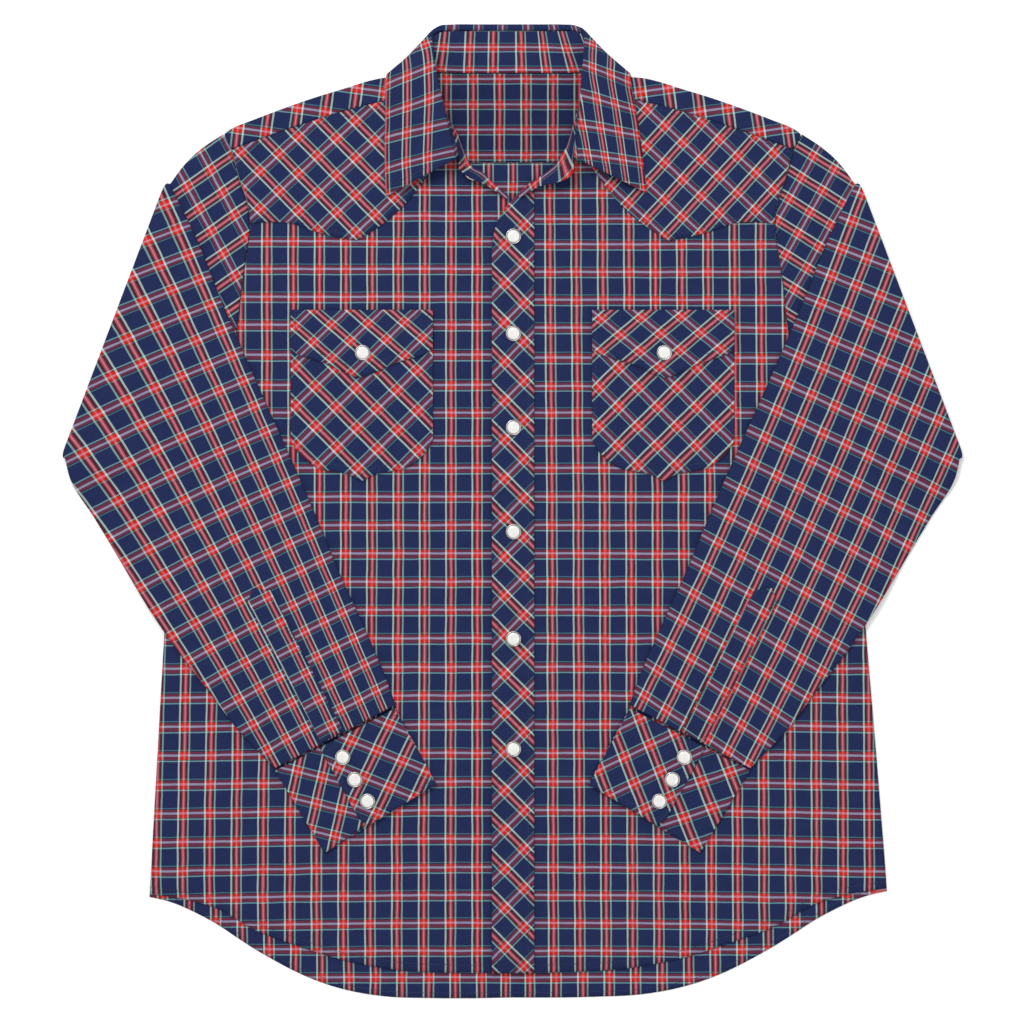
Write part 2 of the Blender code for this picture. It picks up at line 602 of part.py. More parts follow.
def collar_sections():
    """Each section's seam, roll and edge, with the ways along and across the fold at its roll."""
    rolls = [Vector(row[3:6]) for row in COLLAR]
    found = []
    for i, row in enumerate(COLLAR):
        seam, roll, radius = Vector(row[0:3]), Vector(row[3:6]), row[6]
        edge = Vector(row[7]) if row[7] else None
        along = (rolls[min(i + 1, len(rolls) - 1)] - rolls[max(i - 1, 0)]).normalized()
        inward = (seam - roll).normalized()
        if edge:
            middle = (inward + (edge - roll).normalized()).normalized()
            over = middle.cross(along).normalized()
        else:
            middle, over = inward, Vector()
        gap = COLLAR_GAP / inward.cross(along).length
        found.append((seam, roll, edge, radius, middle, over, gap))
    return found


def make_collar(cloth):
    stand = []
    leaf = []
    for seam, roll, edge, radius, middle, over, gap in collar_sections():
        if edge:
            inward = (seam - roll).normalized()
            turned = roll + over * radius + inward * (COLLAR_TURN + radius)
            away = roll - over * radius + middle * radius
            row = [turned, roll + over * radius + middle * radius, roll, away]
            for i in range(1, LEAF_ROWS + 1):
                share = i / LEAF_ROWS
                p = away.lerp(edge, share)
                puff = LEAF_PUFF * math.sin(math.pi * share) * min(1.0, max(0.0, (roll.z - 5.0) / 12.0))
                row.append(p + Vector((0.0, 0.0, puff)))
            leaf.append(row)
            top = turned + inward * gap
        else:
            top = roll
        stand.append([seam.lerp(top, share) for share in (0.0, 0.35, 0.7, 1.0)])
    sheet_from_rows("collar_stand", stand, cloth)
    sheet_from_rows("collar_leaf", leaf, cloth)


# --- snaps ---------------------------------------------------------------------------------------

def lathe(name, profile, base, up, material):
    """A round piece on base, turned about up, from a closed or axis-to-axis profile of (radius, height)."""
    turn = Vector((0.0, 0.0, 1.0)).rotation_difference(Vector(up).normalized()).to_matrix()
    points = []
    rings = []
    for radius, height in profile:
        if radius == 0.0:
            rings.append([len(points)] * SNAP_SIDES)
            points.append(Vector((0.0, 0.0, height)))
            continue
        rings.append(list(range(len(points), len(points) + SNAP_SIDES)))
        for k in range(SNAP_SIDES):
            lean = math.tau * k / SNAP_SIDES
            points.append(Vector((radius * math.cos(lean), radius * math.sin(lean), height)))
    if profile[0][0] > 0.0:
        rings.append(rings[0])
    faces = []
    for low, high in zip(rings, rings[1:]):
        for k in range(SNAP_SIDES):
            n = (k + 1) % SNAP_SIDES
            face = list(dict.fromkeys((low[k], low[n], high[n], high[k])))
            faces.append(tuple(face))
    placed = [Vector(base) + turn @ p for p in points]
    return make_object(name, placed, faces, material, round_piece=True)


def make_snap(number, base, up, pearl, metal):
    cap = [(0.0, 0.0), (SNAP_CAP, 0.0), (SNAP_CAP, 1.2), (SNAP_CAP * 0.86, 1.9),
           (SNAP_CAP * 0.5, SNAP_HEIGHT), (0.0, SNAP_HEIGHT + 0.1)]
    inner = SNAP_CAP + GAP
    rim = [(inner, 0.0), (SNAP_RIM, 0.0), (SNAP_RIM, 1.0), (SNAP_RIM - 0.3, 1.4), (inner, 1.4)]
    lathe(f"snap_cap_{number:02d}", cap, base, up, pearl)
    lathe(f"snap_rim_{number:02d}", rim, base, up, metal)


def snap_places():
    """Foot point and direction of each snap: six down the front, the neckband, two flaps, six cuffs."""
    up = Vector((0.0, 0.0, 1.0))
    places = []
    for y in (239.5, 155.0, 73.2, -17.4, -110.6, -206.4):
        level = left_front_level(0.0, y) + LAYER + CLOTH / 2 + GAP
        places.append((Vector((0.0, y, level)), up))
    sections = collar_sections()
    # The neckband's snap sits on the stand's outer face, near its upper edge.
    (seam_a, roll_a), (seam_b, roll_b) = sections[2][:2], sections[3][:2]
    middle = (seam_a + roll_a + seam_b + roll_b) / 4
    rise = (roll_a + roll_b - seam_a - seam_b).normalized()
    face = (seam_b - seam_a).cross(roll_a - seam_a).normalized()
    if face.z > 0:
        face = -face
    places.append((middle + rise * 3.0 + face * (CLOTH / 2 + GAP + 0.7), face))
    for side in (-1, 1):
        x = side * POCKET_MIDDLE
        level = front_level(x, 138.3) + 2 * LAYER + CLOTH / 2 + GAP
        places.append((Vector((x, 138.3, level)), up))
    for side in (-1, 1):
        for x, y in CUFF_SNAPS:
            places.append((Vector((side * x, y, CUFF_OVER + CLOTH / 2 + GAP)), up))
    return places


def main():
    for thing in list(bpy.data.objects):
        bpy.data.objects.remove(thing, do_unlink=True)
    cloth = make_material("plaid_cotton", (0.11, 0.055, 0.11), 0.85, 0.0)
    pearl = make_material("pearl", (0.82, 0.81, 0.77), 0.22, 0.0)
    metal = make_material("snap_metal", (0.72, 0.71, 0.68), 0.28, 1.0)
    make_back_panel(cloth)
    make_back_yoke(cloth)
    make_back_yoke_inside(cloth)
    make_front("front_right", -1, NECK_RIGHT, STRIP_RIGHT, front_level, cloth)
    make_front("front_left", 1, NECK_LEFT, STRIP_LEFT, left_front_level, cloth)
    make_placket(cloth)
    for side, word, neck in ((-1, "right", NECK_RIGHT), (1, "left", NECK_LEFT)):
        make_front_yoke(f"front_yoke_{word}", side, neck, cloth)
        make_patch(f"pocket_{word}", side, POCKET_TOP, POCKET_FOOT, 1, cloth)
        make_patch(f"pocket_flap_{word}", side, FLAP_TOP, FLAP_FOOT, 2, cloth)
        make_sleeve(f"sleeve_{word}", side, cloth)
        make_sleeve_placket(f"sleeve_placket_{word}", side, cloth)
        make_cuff(f"cuff_{word}", side, cloth)
    make_collar(cloth)
    for number, (base, up) in enumerate(snap_places(), start=1):
        make_snap(number, base, up, pearl, metal)


main()
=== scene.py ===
"""Looks of the western snap shirt: cloth shells, plaid cotton, pearl snaps, stitching, floor and light.

+X is the wearer's left, +Y runs up to the collar, +Z is up off the table. Sizes are in millimetres
until a mesh is made. Counts of the plaid's repeats are kept in the UV map, with a whole number on the
middle of every red stripe.
"""
import math

import bpy
import numpy as np
from mathutils import Matrix, Vector


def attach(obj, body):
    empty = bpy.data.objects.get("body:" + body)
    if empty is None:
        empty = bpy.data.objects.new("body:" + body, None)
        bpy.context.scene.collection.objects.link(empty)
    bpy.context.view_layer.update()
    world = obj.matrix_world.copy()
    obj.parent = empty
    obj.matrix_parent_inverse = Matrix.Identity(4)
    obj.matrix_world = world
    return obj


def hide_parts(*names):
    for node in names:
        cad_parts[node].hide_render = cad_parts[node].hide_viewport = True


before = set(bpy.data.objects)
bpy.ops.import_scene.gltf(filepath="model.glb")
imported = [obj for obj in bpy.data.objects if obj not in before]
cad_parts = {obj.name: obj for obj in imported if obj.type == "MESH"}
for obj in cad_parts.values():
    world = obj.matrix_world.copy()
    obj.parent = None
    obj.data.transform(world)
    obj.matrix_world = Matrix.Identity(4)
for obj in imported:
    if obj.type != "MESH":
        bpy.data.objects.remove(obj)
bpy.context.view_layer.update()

MM = 0.001
WALL = 0.62          # cloth of one layer as it shows at an edge
WALL_STIFF = 0.95    # collar, cuffs, placket and flaps, which are lined
CELL = 3.6           # size of a shell's cells
CLOTH = 1.0          # layer heights, shared with the solids
GAP = 0.3
LAYER = CLOTH + GAP
BACK = CLOTH / 2
FRONT = 4.1
EASE = 14.0
TUBE_HALF = 1.8
TURN = 2.45
SAG_FROM = 12.0
SAG = 30.0
OVER_FRONT = FRONT + CLOTH / 2 + GAP
PLACKET_IN = 18.9
PLACKET_PROUD = 0.3  # of the front's free edge
WRAP_LEVEL = 4.7

ARMHOLE = (  # distance from the centre line, height up the shirt
    (252.0, 328.8), (244.4, 314.6), (241.6, 304.0), (236.5, 286.0), (229.8, 266.0), (228.4, 250.0),
    (231.0, 226.0), (235.5, 195.0), (239.0, 163.0), (247.0, 129.0), (266.0, 97.0), (296.0, 69.0),
)
SIDE = (
    (296.0, 69.0), (301.0, -10.0), (306.0, -104.0), (311.0, -190.0), (315.5, -270.0),
    (318.3, -317.5), (318.7, -324.5), (319.0, -331.5),
)
SHOULDER = (
    (252.0, 328.8), (244.3, 333.6), (226.9, 340.6), (209.0, 347.5), (189.9, 354.5), (169.0, 361.5),
    (146.3, 368.4), (124.1, 375.2), (112.0, 377.6), (105.5, 378.0), (98.0, 379.0), (87.0, 381.0),
)
FRONT_SEAM = ((244.4, 315.0), (200.0, 331.0), (146.0, 348.5), (107.0, 358.0), (80.0, 362.0))
BACK_HEM = (
    (319.5, -334.0), (300.0, -338.8), (276.1, -349.3), (257.4, -359.7), (241.7, -370.2),
    (225.6, -380.6), (207.3, -391.1), (187.3, -401.5), (161.1, -412.0), (134.0, -419.0),
    (111.0, -422.4), (70.0, -424.2), (0.0, -424.2),
)
FRONT_HEM = (
    (319.0, -331.5), (289.0, -336.0), (258.0, -345.0), (229.0, -362.0), (184.0, -379.0),
    (150.0, -390.0), (122.0, -396.0), (98.0, -399.5), (50.0, -402.2), (0.0, -402.4),
)
FRONT_YOKE_TIP = (
    (228.4, 250.2), (192.4, 250.3), (172.5, 243.5), (149.4, 237.6), (135.0, 235.6), (115.8, 247.9),
    (97.5, 263.0), (85.8, 276.1), (68.0, 301.0), (57.0, 326.0),
)
NECK_RIGHT = (
    (-80.0, 361.6), (-67.0, 351.2), (-57.0, 342.3), (-48.3, 328.4), (-43.1, 315.3), (-40.0, 308.5),
    (-37.0, 301.4), (-23.0, 292.0),
)
NECK_LEFT = (
    (80.0, 361.6), (70.0, 358.5), (58.8, 352.0), (53.6, 337.0), (51.0, 328.4), (47.5, 317.5),
    (37.9, 301.0), (23.0, 289.0),
)
STRIP_LEFT = (  # y on the strip's outer line, x and y of the free edge of the upper lap
    (289.0, 1.0, 271.6), (272.0, -6.5, 263.0), (256.0, -12.6, 252.6), (238.0, -16.5, 237.8),
    (225.0, -17.6, 225.0), (100.0, -17.6, 100.0), (-60.0, -17.6, -60.0), (-230.0, -17.6, -230.0),
    (-402.4, -17.6, -402.4),
)
STRIP_RIGHT = (
    (292.0, 0.0, 271.0), (272.0, 9.0, 264.5), (256.0, 17.0, 256.0), (238.0, 17.6, 238.0),
    (225.0, 17.6, 225.0), (100.0, 17.6, 100.0), (-60.0, 17.6, -60.0), (-230.0, 17.6, -230.0),
    (-402.4, 17.6, -402.4),
)
POCKET_MIDDLE = 131.2
POCKET_TOP = 172.0
POCKET_FOOT = (
    (-61.9, 62.0), (-57.0, 53.0), (-47.0, 43.0), (-37.0, 37.0), (-25.0, 34.5), (-12.0, 32.0),
    (0.0, 25.7), (12.0, 32.0), (25.0, 34.5), (37.0, 37.0), (47.0, 43.0), (57.0, 53.0), (61.9, 62.0),
)
FLAP_TOP = 175.0
FLAP_FOOT = (
    (-61.9, 141.0), (-52.0, 135.4), (-40.0, 132.0), (-25.0, 127.0), (-12.0, 120.5), (2.0, 115.6),
    (15.0, 120.5), (28.0, 127.0), (43.0, 132.0), (55.0, 136.0), (61.9, 141.0),
)
SLEEVE_FOLD_TOP = (298.6, 284.0)
SLEEVE_FOLD_LOW = (388.8, 45.9)
HEM_SLANT = 0.008    # rise of the hem towards the wearer's left
SLEEVE_BULGE = (3.1, 3.3)  # of the upper edge, between the shoulder and the fold
SLEEVE_LOW = (  # inner x, y and outer x, y of each section after the fold
    (274.8, 236.0, 384.5, 28.0), (253.0, 181.2, 364.0, -6.0), (236.5, 142.8, 352.3, -25.3),
    (217.5, 99.5, 331.4, -60.1), (194.9, 49.6, 309.6, -94.9), (173.5, 0.5, 287.0, -127.0),
    (151.0, -53.5, 264.0, -156.5), (127.6, -105.1, 239.5, -189.0), (109.3, -148.4, 219.0, -211.0),
    (102.2, -168.7, 206.6, -223.6),
)
SLEEVE_PLACKET = (223.4, -67.9, 156.6, -196.0)
SLEEVE_PLACKET_WIDE = 22.0
CUFF_UNDER = 7.4
CUFF_LOW = OVER_FRONT + CLOTH / 2
CUFF_OVER = 8.7
CUFF_BAND = (  # upper x, y, lower x, y, level, from the hidden lap round to the visible edge
    (147.0, -195.5, 114.0, -262.0, CUFF_UNDER), (175.5, -210.0, 141.5, -283.0, CUFF_UNDER),
    (205.6, -225.3, 162.5, -297.0, CUFF_UNDER), (205.6, -225.3, 162.5, -297.0, CUFF_LOW),
    (154.0, -198.5, 114.5, -267.5, CUFF_LOW), (103.4, -172.6, 67.6, -238.6, CUFF_LOW),
    (103.4, -172.6, 67.6, -238.6, CUFF_OVER), (134.0, -188.7, 98.0, -257.0, CUFF_OVER),
    (160.0, -202.0, 125.5, -273.3, CUFF_OVER), (167.6, -206.0, 133.6, -267.5, CUFF_OVER),
)
COLLAR = (  # seam x, y, z, roll x, y, z, radius of the roll, edge x, y, z
    (-3.5, 274.4, 6.3, -5.2, 270.8, 8.4, 0.0, None),
    (-16.3, 285.2, 6.1, -19.5, 281.0, 11.0, 0.0, None),
    (-25.0, 293.9, 6.0, -33.0, 287.5, 15.0, 0.0, None),
    (-37.3, 301.9, 5.9, -45.0, 295.0, 18.5, 0.0, None),
    (-43.4, 315.8, 5.9, -49.5, 303.5, 20.5, 1.4, (-110.0, 273.5, 7.3)),
    (-48.6, 328.9, 6.6, -53.5, 320.0, 21.5, 1.5, (-111.0, 298.0, 6.9)),
    (-57.0, 342.9, 6.8, -57.5, 338.0, 22.0, 1.5, (-111.0, 322.0, 6.9)),
    (-67.0, 351.9, 6.8, -61.0, 355.0, 22.0, 1.5, (-110.5, 343.0, 6.9)),
    (-78.5, 361.5, 6.8, -64.5, 371.0, 21.0, 1.5, (-110.2, 358.0, 6.9)),
    (-83.5, 370.0, 6.4, -67.0, 386.0, 18.5, 1.4, (-110.0, 370.0, 6.8)),
    (-84.5, 377.0, 6.0, -69.0, 400.0, 13.5, 1.2, (-109.8, 377.4, 6.0)),
    (-82.5, 383.0, 4.7, -70.3, 412.0, 8.0, 1.3, (-108.2, 381.0, 3.2)),
    (-77.5, 383.2, 3.2, -68.8, 419.0, 4.0, 0.8, (-104.5, 379.2, 0.5)),
    (-69.0, 382.8, 2.4, -63.0, 423.0, 2.0, 0.7, (-92.0, 373.0, 0.5)),
    (-58.0, 382.2, 1.8, -54.0, 424.0, 1.15, 0.65, (-70.0, 372.0, 0.5)),
    (-30.0, 381.9, 1.8, -29.0, 424.2, 1.15, 0.65, (-34.0, 372.0, 0.5)),
    (0.0, 381.9, 1.8, 0.0, 424.2, 1.15, 0.65, (0.0, 372.0, 0.5)),
    (30.0, 381.9, 1.8, 25.0, 424.2, 1.15, 0.65, (32.0, 372.0, 0.5)),
    (57.0, 382.2, 1.8, 44.0, 424.1, 1.15, 0.65, (62.0, 372.0, 0.5)),
    (68.0, 382.8, 2.4, 54.0, 423.3, 2.0, 0.7, (86.0, 373.0, 0.5)),
    (76.5, 383.2, 3.1, 60.0, 420.3, 3.8, 1.0, (97.5, 379.6, 0.5)),
    (81.0, 383.3, 4.4, 62.2, 414.0, 7.0, 1.4, (101.0, 382.0, 2.8)),
    (84.0, 379.0, 5.8, 62.6, 406.0, 11.5, 1.2, (102.6, 379.6, 5.6)),
    (84.3, 372.5, 6.3, 61.8, 394.0, 16.0, 1.4, (103.0, 374.0, 6.6)),
    (79.5, 362.5, 6.8, 60.5, 380.0, 19.5, 1.5, (104.0, 365.0, 6.8)),
    (70.0, 359.5, 6.8, 59.7, 366.0, 21.5, 1.5, (106.5, 352.0, 6.9)),
    (59.5, 353.0, 6.8, 58.8, 350.0, 22.0, 1.5, (109.4, 337.0, 6.9)),
    (54.4, 340.0, 6.6, 58.0, 333.0, 22.0, 1.5, (112.0, 317.0, 6.9)),
    (51.2, 329.5, 6.6, 57.5, 317.0, 21.5, 1.5, (114.6, 296.0, 6.9)),
    (47.6, 318.4, 6.6, 57.0, 303.0, 20.5, 1.4, (116.7, 276.5, 7.3)),
    (43.2, 310.5, 6.2, 50.0, 290.0, 19.0, 0.0, None),
    (37.9, 301.8, 6.2, 38.0, 284.5, 17.5, 0.0, None),
    (24.0, 290.4, 7.4, 24.4, 282.0, 14.5, 0.0, None),
    (10.9, 280.2, 8.3, 13.7, 276.3, 11.5, 0.0, None),
    (4.0, 274.8, 8.6, 6.2, 272.0, 10.2, 0.0, None),
)
COLLAR_TURN = 4.4
COLLAR_GAP = 0.95
LEAF_PUFF = 2.0


# --- lines and fills ------------------------------------------------------------------------------

def soft(share):
    share = np.clip(share, 0.0, 1.0)
    return share * share * (3.0 - 2.0 * share)


def read(table, x):
    rows = np.array(sorted((row[0], row[1]) for row in table))
    return np.interp(x, rows[:, 0], rows[:, 1])


def mirrored(table, side):
    return [(side * x, y) for x, y in table]


def smooth_line(points, per=14):
    """A smooth line through all the points, in whatever number of dimensions they have."""
    p = np.array(points, float)
    if len(p) < 3:
        return np.vstack([p[0] + (p[-1] - p[0]) * s for s in np.linspace(0, 1, per + 1)])
    step = np.linalg.norm(np.diff(p[:, :3], axis=0), axis=1)[:, None]
    slope = np.diff(p, axis=0) / step
    way = np.empty_like(p)
    way[1:-1] = (slope[:-1] * step[1:] + slope[1:] * step[:-1]) / (step[:-1] + step[1:])
    way[0] = slope[0] * 1.5 - way[1] * 0.5
    way[-1] = slope[-1] * 1.5 - way[-2] * 0.5
    t = np.linspace(0, 1, per, endpoint=False)[:, None]
    parts = []
    for i in range(len(p) - 1):
        h = step[i]
        parts.append((2 * t**3 - 3 * t**2 + 1) * p[i] + (t**3 - 2 * t**2 + t) * h * way[i]
                     + (3 * t**2 - 2 * t**3) * p[i + 1] + (t**3 - t**2) * h * way[i + 1])
    return np.vstack(parts + [p[-1:]])


def joined(*lines):
    """Lines that follow on from one another, as one."""
    return np.vstack([lines[0]] + [line[1:] for line in lines[1:]])


def along(line, shares):
    """Points at shares of a line's length."""
    line = np.asarray(line, float)
    run = np.concatenate([[0.0], np.cumsum(np.linalg.norm(np.diff(line[:, :3], axis=0), axis=1))])
    at = np.asarray(shares) * run[-1]
    return np.column_stack([np.interp(at, run, line[:, k]) for k in range(line.shape[1])])


def length_of(line):
    return float(np.linalg.norm(np.diff(np.asarray(line)[:, :3], axis=0), axis=1).sum())


def fill(top, bottom, left, right, cell=CELL):
    """A plan grid between four edge lines, rows running down and columns across."""
    wide = max(2, round(max(length_of(top), length_of(bottom)) / cell))
    tall = max(2, round(max(length_of(left), length_of(right)) / cell))
    u = np.linspace(0, 1, wide + 1)
    v = np.linspace(0, 1, tall + 1)
    t, b = along(top, u)[None], along(bottom, u)[None]
    l, r = along(left, v)[:, None], along(right, v)[:, None]
    u, v = u[None, :, None], v[:, None, None]
    corners = ((1 - u) * (1 - v) * l[:1] + u * (1 - v) * r[:1]
               + (1 - u) * v * l[-1:] + u * v * r[-1:])
    return l * (1 - u) + r * u + t * (1 - v) + b * v - corners


def nearness(plan, line):
    """Distance of every plan point from a line."""
    line = np.asarray(line, float)[:, :2]
    p = plan[..., :2].reshape(-1, 2)
    best = np.full(len(p), 1e9)
    for a, b in zip(line, line[1:]):
        way = b - a
        t = np.clip(((p - a) @ way) / max(way @ way, 1e-9), 0, 1)
        best = np.minimum(best, np.linalg.norm(p - a - t[:, None] * way, axis=1))
    return best.reshape(plan.shape[:-1])


# --- heights of the layers ------------------------------------------------------------------------

SIDE_X = [(row[1], row[0]) for row in SIDE]

CREASES = (  # start x, y, end x, y, half width, height: soft ridges in the fronts
    (-150.0, 20.0, -60.0, -120.0, 13.0, 0.5),
    (-75.0, -60.0, -40.0, -330.0, 15.0, 0.55),
    (60.0, 10.0, 88.0, -190.0, 14.0, 0.5),
    (150.0, 12.0, 100.0, -95.0, 12.0, 0.4),
    (-215.0, -230.0, -190.0, -350.0, 16.0, 0.6),
    (225.0, -215.0, 205.0, -345.0, 15.0, 0.55),
    (-110.0, -260.0, -125.0, -380.0, 13.0, 0.45),
    (95.0, -280.0, 130.0, -375.0, 14.0, 0.45),
    (-215.0, 235.0, -180.0, 190.0, 11.0, 0.45),
    (212.0, 236.0, 180.0, 185.0, 11.0, 0.45),
    (-60.0, 230.0, -40.0, 60.0, 13.0, 0.4),
    (46.0, 225.0, 62.0, 40.0, 13.0, 0.4),
)
SLEEVE_CREASES = {  # the same for the tops of the sleeves, x counted out from the centre line
    -1: (
        (330.0, 150.0, 246.0, -8.0, 9.0, 0.9),
        (352.0, 120.0, 292.0, -30.0, 8.0, 0.5),
        (300.0, 210.0, 262.0, 110.0, 9.0, 0.6),
        (268.0, 20.0, 205.0, -120.0, 9.0, 0.6),
        (240.0, 60.0, 178.0, -90.0, 8.0, 0.45),
        (236.0, -95.0, 196.0, -196.0, 6.0, 0.5),
        (165.0, -70.0, 130.0, -160.0, 6.5, 0.5),
    ),
    1: (
        (318.0, 128.0, 238.0, -20.0, 9.0, 0.8),
        (345.0, 95.0, 280.0, -55.0, 8.0, 0.5),
        (292.0, 190.0, 250.0, 95.0, 9.0, 0.6),
        (262.0, 5.0, 210.0, -112.0, 8.0, 0.6),
        (232.0, 40.0, 186.0, -70.0, 8.0, 0.4),
        (230.0, -110.0, 190.0, -195.0, 6.0, 0.45),
        (160.0, -85.0, 128.0, -155.0, 6.5, 0.5),
    ),
}


def ridges(table, x, y):
    """Height of the soft ridges at each point, highest at mid length and dying away at the ends."""
    total = np.zeros(np.broadcast(x, y).shape)
    for x0, y0, x1, y1, half, high in table:
        way = np.array([x1 - x0, y1 - y0])
        long = np.linalg.norm(way)
        t = ((x - x0) * way[0] + (y - y0) * way[1]) / long**2
        off = ((x - x0) * way[1] - (y - y0) * way[0]) / long
        bow = off - 0.03 * long * np.sin(np.pi * np.clip(t, 0, 1))
        fade = soft(t / 0.35) * soft((1 - t) / 0.35)
        total += high * fade * np.exp(-(bow / half) ** 2)
    return total


def inside_side(x, y):
    return read(SIDE_X, y) - np.abs(x)


def body_ease(x, y):
    """Creases of the fronts, which everything lying on them shares."""
    room = soft(np.minimum(inside_side(x, y), y - read(FRONT_HEM, np.abs(x))) / 26.0)
    return ridges(CREASES, x, y) * room


def front_level(x, y):
    low = np.minimum(inside_side(x, y), y - read(FRONT_HEM, np.abs(x)))
    return BACK + LAYER + (FRONT - BACK - LAYER) * soft(low / EASE) + body_ease(x, y)


def left_front_level(x, y):
    return front_level(x, y) + LAYER * soft((40.0 - x) / 15.0)


def yoke_back_level(x, y):
    return BACK + LAYER * soft((y - 350.0) / 14.0) * soft((132.0 - np.abs(x)) / 20.0)


def side_lean(x, y):
    """How far the body's sides swing to the wearer's left below the arms."""
    reach = np.where(x < 0, 2.8 * soft((60.0 - y) / 160.0), 7.0 * soft((40.0 - y) / 400.0))
    return reach * (np.abs(x) / 315.0) ** 2


def sleeve_support(x, y):
    beyond_side = np.abs(x) - read(SIDE_X, y)
    (x0, y0), (x1, y1) = ARMHOLE[-1], SLEEVE_FOLD_LOW
    below_arm = y0 + (y1 - y0) * (np.abs(x) - x0) / (x1 - x0) - y
    return OVER_FRONT * (1.0 - soft((np.minimum(beyond_side, below_arm) - SAG_FROM) / SAG))


def sleeve_ease(side, x, y):
    return ridges(SLEEVE_CREASES[side], np.abs(x), y)


# --- where the plaid lies on each piece -----------------------------------------------------------

def lattice(x, y, crossing, warp_angle, weft_angle, warp_pitch, weft_pitch):
    """Repeats across the warp and the weft, from one crossing and the ways that the stripes run."""
    warp, weft = math.radians(warp_angle), math.radians(weft_angle)
    dx, dy = x - crossing[0], y - crossing[1]
    u = (dx * math.sin(warp) - dy * math.cos(warp)) / warp_pitch
    v = (-dx * math.sin(weft) + dy * math.cos(weft)) / weft_pitch
    return u, v


def charted(crossings, bent=False):
    """Counts of repeats over a piece, from where a few crossings of its red stripes lie."""
    rows = np.array(crossings, float)

    def terms(x, y):
        x, y = np.asarray(x) / 100.0, np.asarray(y) / 100.0
        flat = [np.ones_like(x), x, y]
        return np.stack(flat + [x * x, x * y, y * y] if bent else flat, -1)

    base = terms(rows[:, 0], rows[:, 1])
    warp, weft = (np.linalg.lstsq(base, rows[:, k], rcond=None)[0] for k in (2, 3))
    return lambda x, y: (terms(x, y) @ warp, terms(x, y) @ weft)


WEFT_UP = (  # height of a weft stripe on the fronts, its count
    (380.0, 4.4), (302.0, 1.0), (279.6, 0.0), (257.0, -1.0), (235.1, -2.0), (162.4, -5.0),
    (109.8, -7.0), (37.5, -10.0), (-12.2, -12.0), (-110.6, -16.0), (-210.5, -20.0),
    (-310.1, -24.0), (-406.8, -28.0), (-434.0, -29.1),
)
FRONT_LEFT_WARP = ((-434.0, 36.2), (-320.0, 35.6), (-150.0, 34.9), (10.0, 34.4), (210.0, 32.7), (380.0, 32.0))


def weft_of(x, y):
    drop = 4.4 * (np.abs(x) / 320.0) ** 2 * soft((100.0 - y) / 500.0)
    return read(WEFT_UP, y + drop)


def front_right_grain(x, y):
    pitch = 22.9 + 0.43 * soft(-y / 330.0)
    return (x + 30.6) / pitch, weft_of(x, y)


def front_left_grain(x, y):
    return (x - read(FRONT_LEFT_WARP, y)) / 22.95, weft_of(x, y + 2.6 * soft((y - 95.0) / 30.0))


BACK_WARP = ((-322.0, -14.0), (-20.5, -1.0), (0.4, 0.0), (21.3, 1.0), (322.0, 14.0))


def back_grain(x, y):
    lean = 6.2 * soft((300.0 - y) / 640.0)
    return read(BACK_WARP, x + lean), (y - 283.1) / 24.2 + 0.5 * soft((200.0 - y) / 600.0)


# Crossings of the red stripes on each piece: distance out from the centre line, height up the
# shirt, count across and count up. The sleeves' stripes bend, so they have more of them.
YOKE_CROSSINGS = {
    -1: ((219.1, 295.4, 0, 0), (186.0, 325.6, 2, 0), (169.1, 276.1, 1, 2), (136.0, 339.3, 4, 1),
         (119.2, 257.5, 2, 4)),
    1: ((148.5, 321.2, 0, 0), (197.1, 276.5, 3, 0), (165.7, 338.0, 0, 1), (227.6, 312.6, 3, 2),
        (148.5, 257.0, 2, -2)),
}
POCKET_CROSSINGS = {
    -1: ((133.4, 71.1, 0, 0), (81.7, 120.8, 3, 0), (83.3, 53.8, 1, 2), (133.4, 36.0, -1, 1),
         (189.8, 126.8, 0, -3)),
    1: ((109.9, 74.0, 0, 0), (75.6, 108.0, -2, 0), (178.2, 107.8, 1, 3), (177.7, 74.0, 2, 2),
        (143.6, 40.2, 2, 0)),
}
FLAP_CROSSINGS = {
    -1: ((172.4, 147.4, -1, 0), (157.1, 161.6, 0, 0), (124.9, 162.7, 1, 1), (109.1, 147.4, 1, 2),
         (77.5, 151.1, 2, 3)),
    1: ((93.2, 152.3, 0, 0), (78.5, 167.9, -1, 0), (129.7, 155.3, 1, 1), (147.1, 140.5, 2, 1),
        (181.9, 170.0, 2, 3)),
}
FIRST_CROSSINGS = {  # sleeves, from the armhole to the fold
    -1: ((263.5, 297.1, 0, 0), (283.3, 281.6, 0, 1), (242.5, 256.3, 2, 0), (252.7, 223.9, 3, 1),
         (241.6, 204.6, 4, 1)),
    1: ((262.5, 310.4, 0, 0), (280.6, 296.2, 0, 1), (241.5, 270.8, 2, 0), (249.6, 237.7, 3, 1),
        (246.1, 195.0, 5, 2)),
}
FOLDED_CROSSINGS = {  # sleeves, from the fold to the cuff
    -1: ((304, 267, 0, -8), (246, 136, 0, -2), (164, -45, 0, 6), (128, -133, 0, 10),
         (305, 212, 1, -6), (215, 13, 1, 3), (136, -166, 1, 11), (327, 201, 2, -6),
         (255, 48, 2, 1), (334, 151, 3, -4), (241, -23, 3, 4), (327, 75, 4, -1),
         (237, -78, 4, 6), (349, 64, 5, -1), (233, -133, 5, 8), (356, 27, 6, 0), (248, -142, 6, 8)),
    1: ((305, 274, 0, -8), (249, 136, 0, -2), (187, -6, 0, 4), (115, -163, 0, 11),
        (308, 218, 1, -6), (220, 6, 1, 3), (135, -173, 1, 11), (320, 187, 2, -5),
        (229, -29, 2, 4), (331, 154, 3, -4), (249, -40, 3, 4), (319, 71, 4, -1), (245, -96, 4, 6),
        (196, -185, 4, 10), (327, 40, 5, 0), (240, -153, 5, 8), (359, 52, 6, -1), (293, -94, 6, 5)),
}
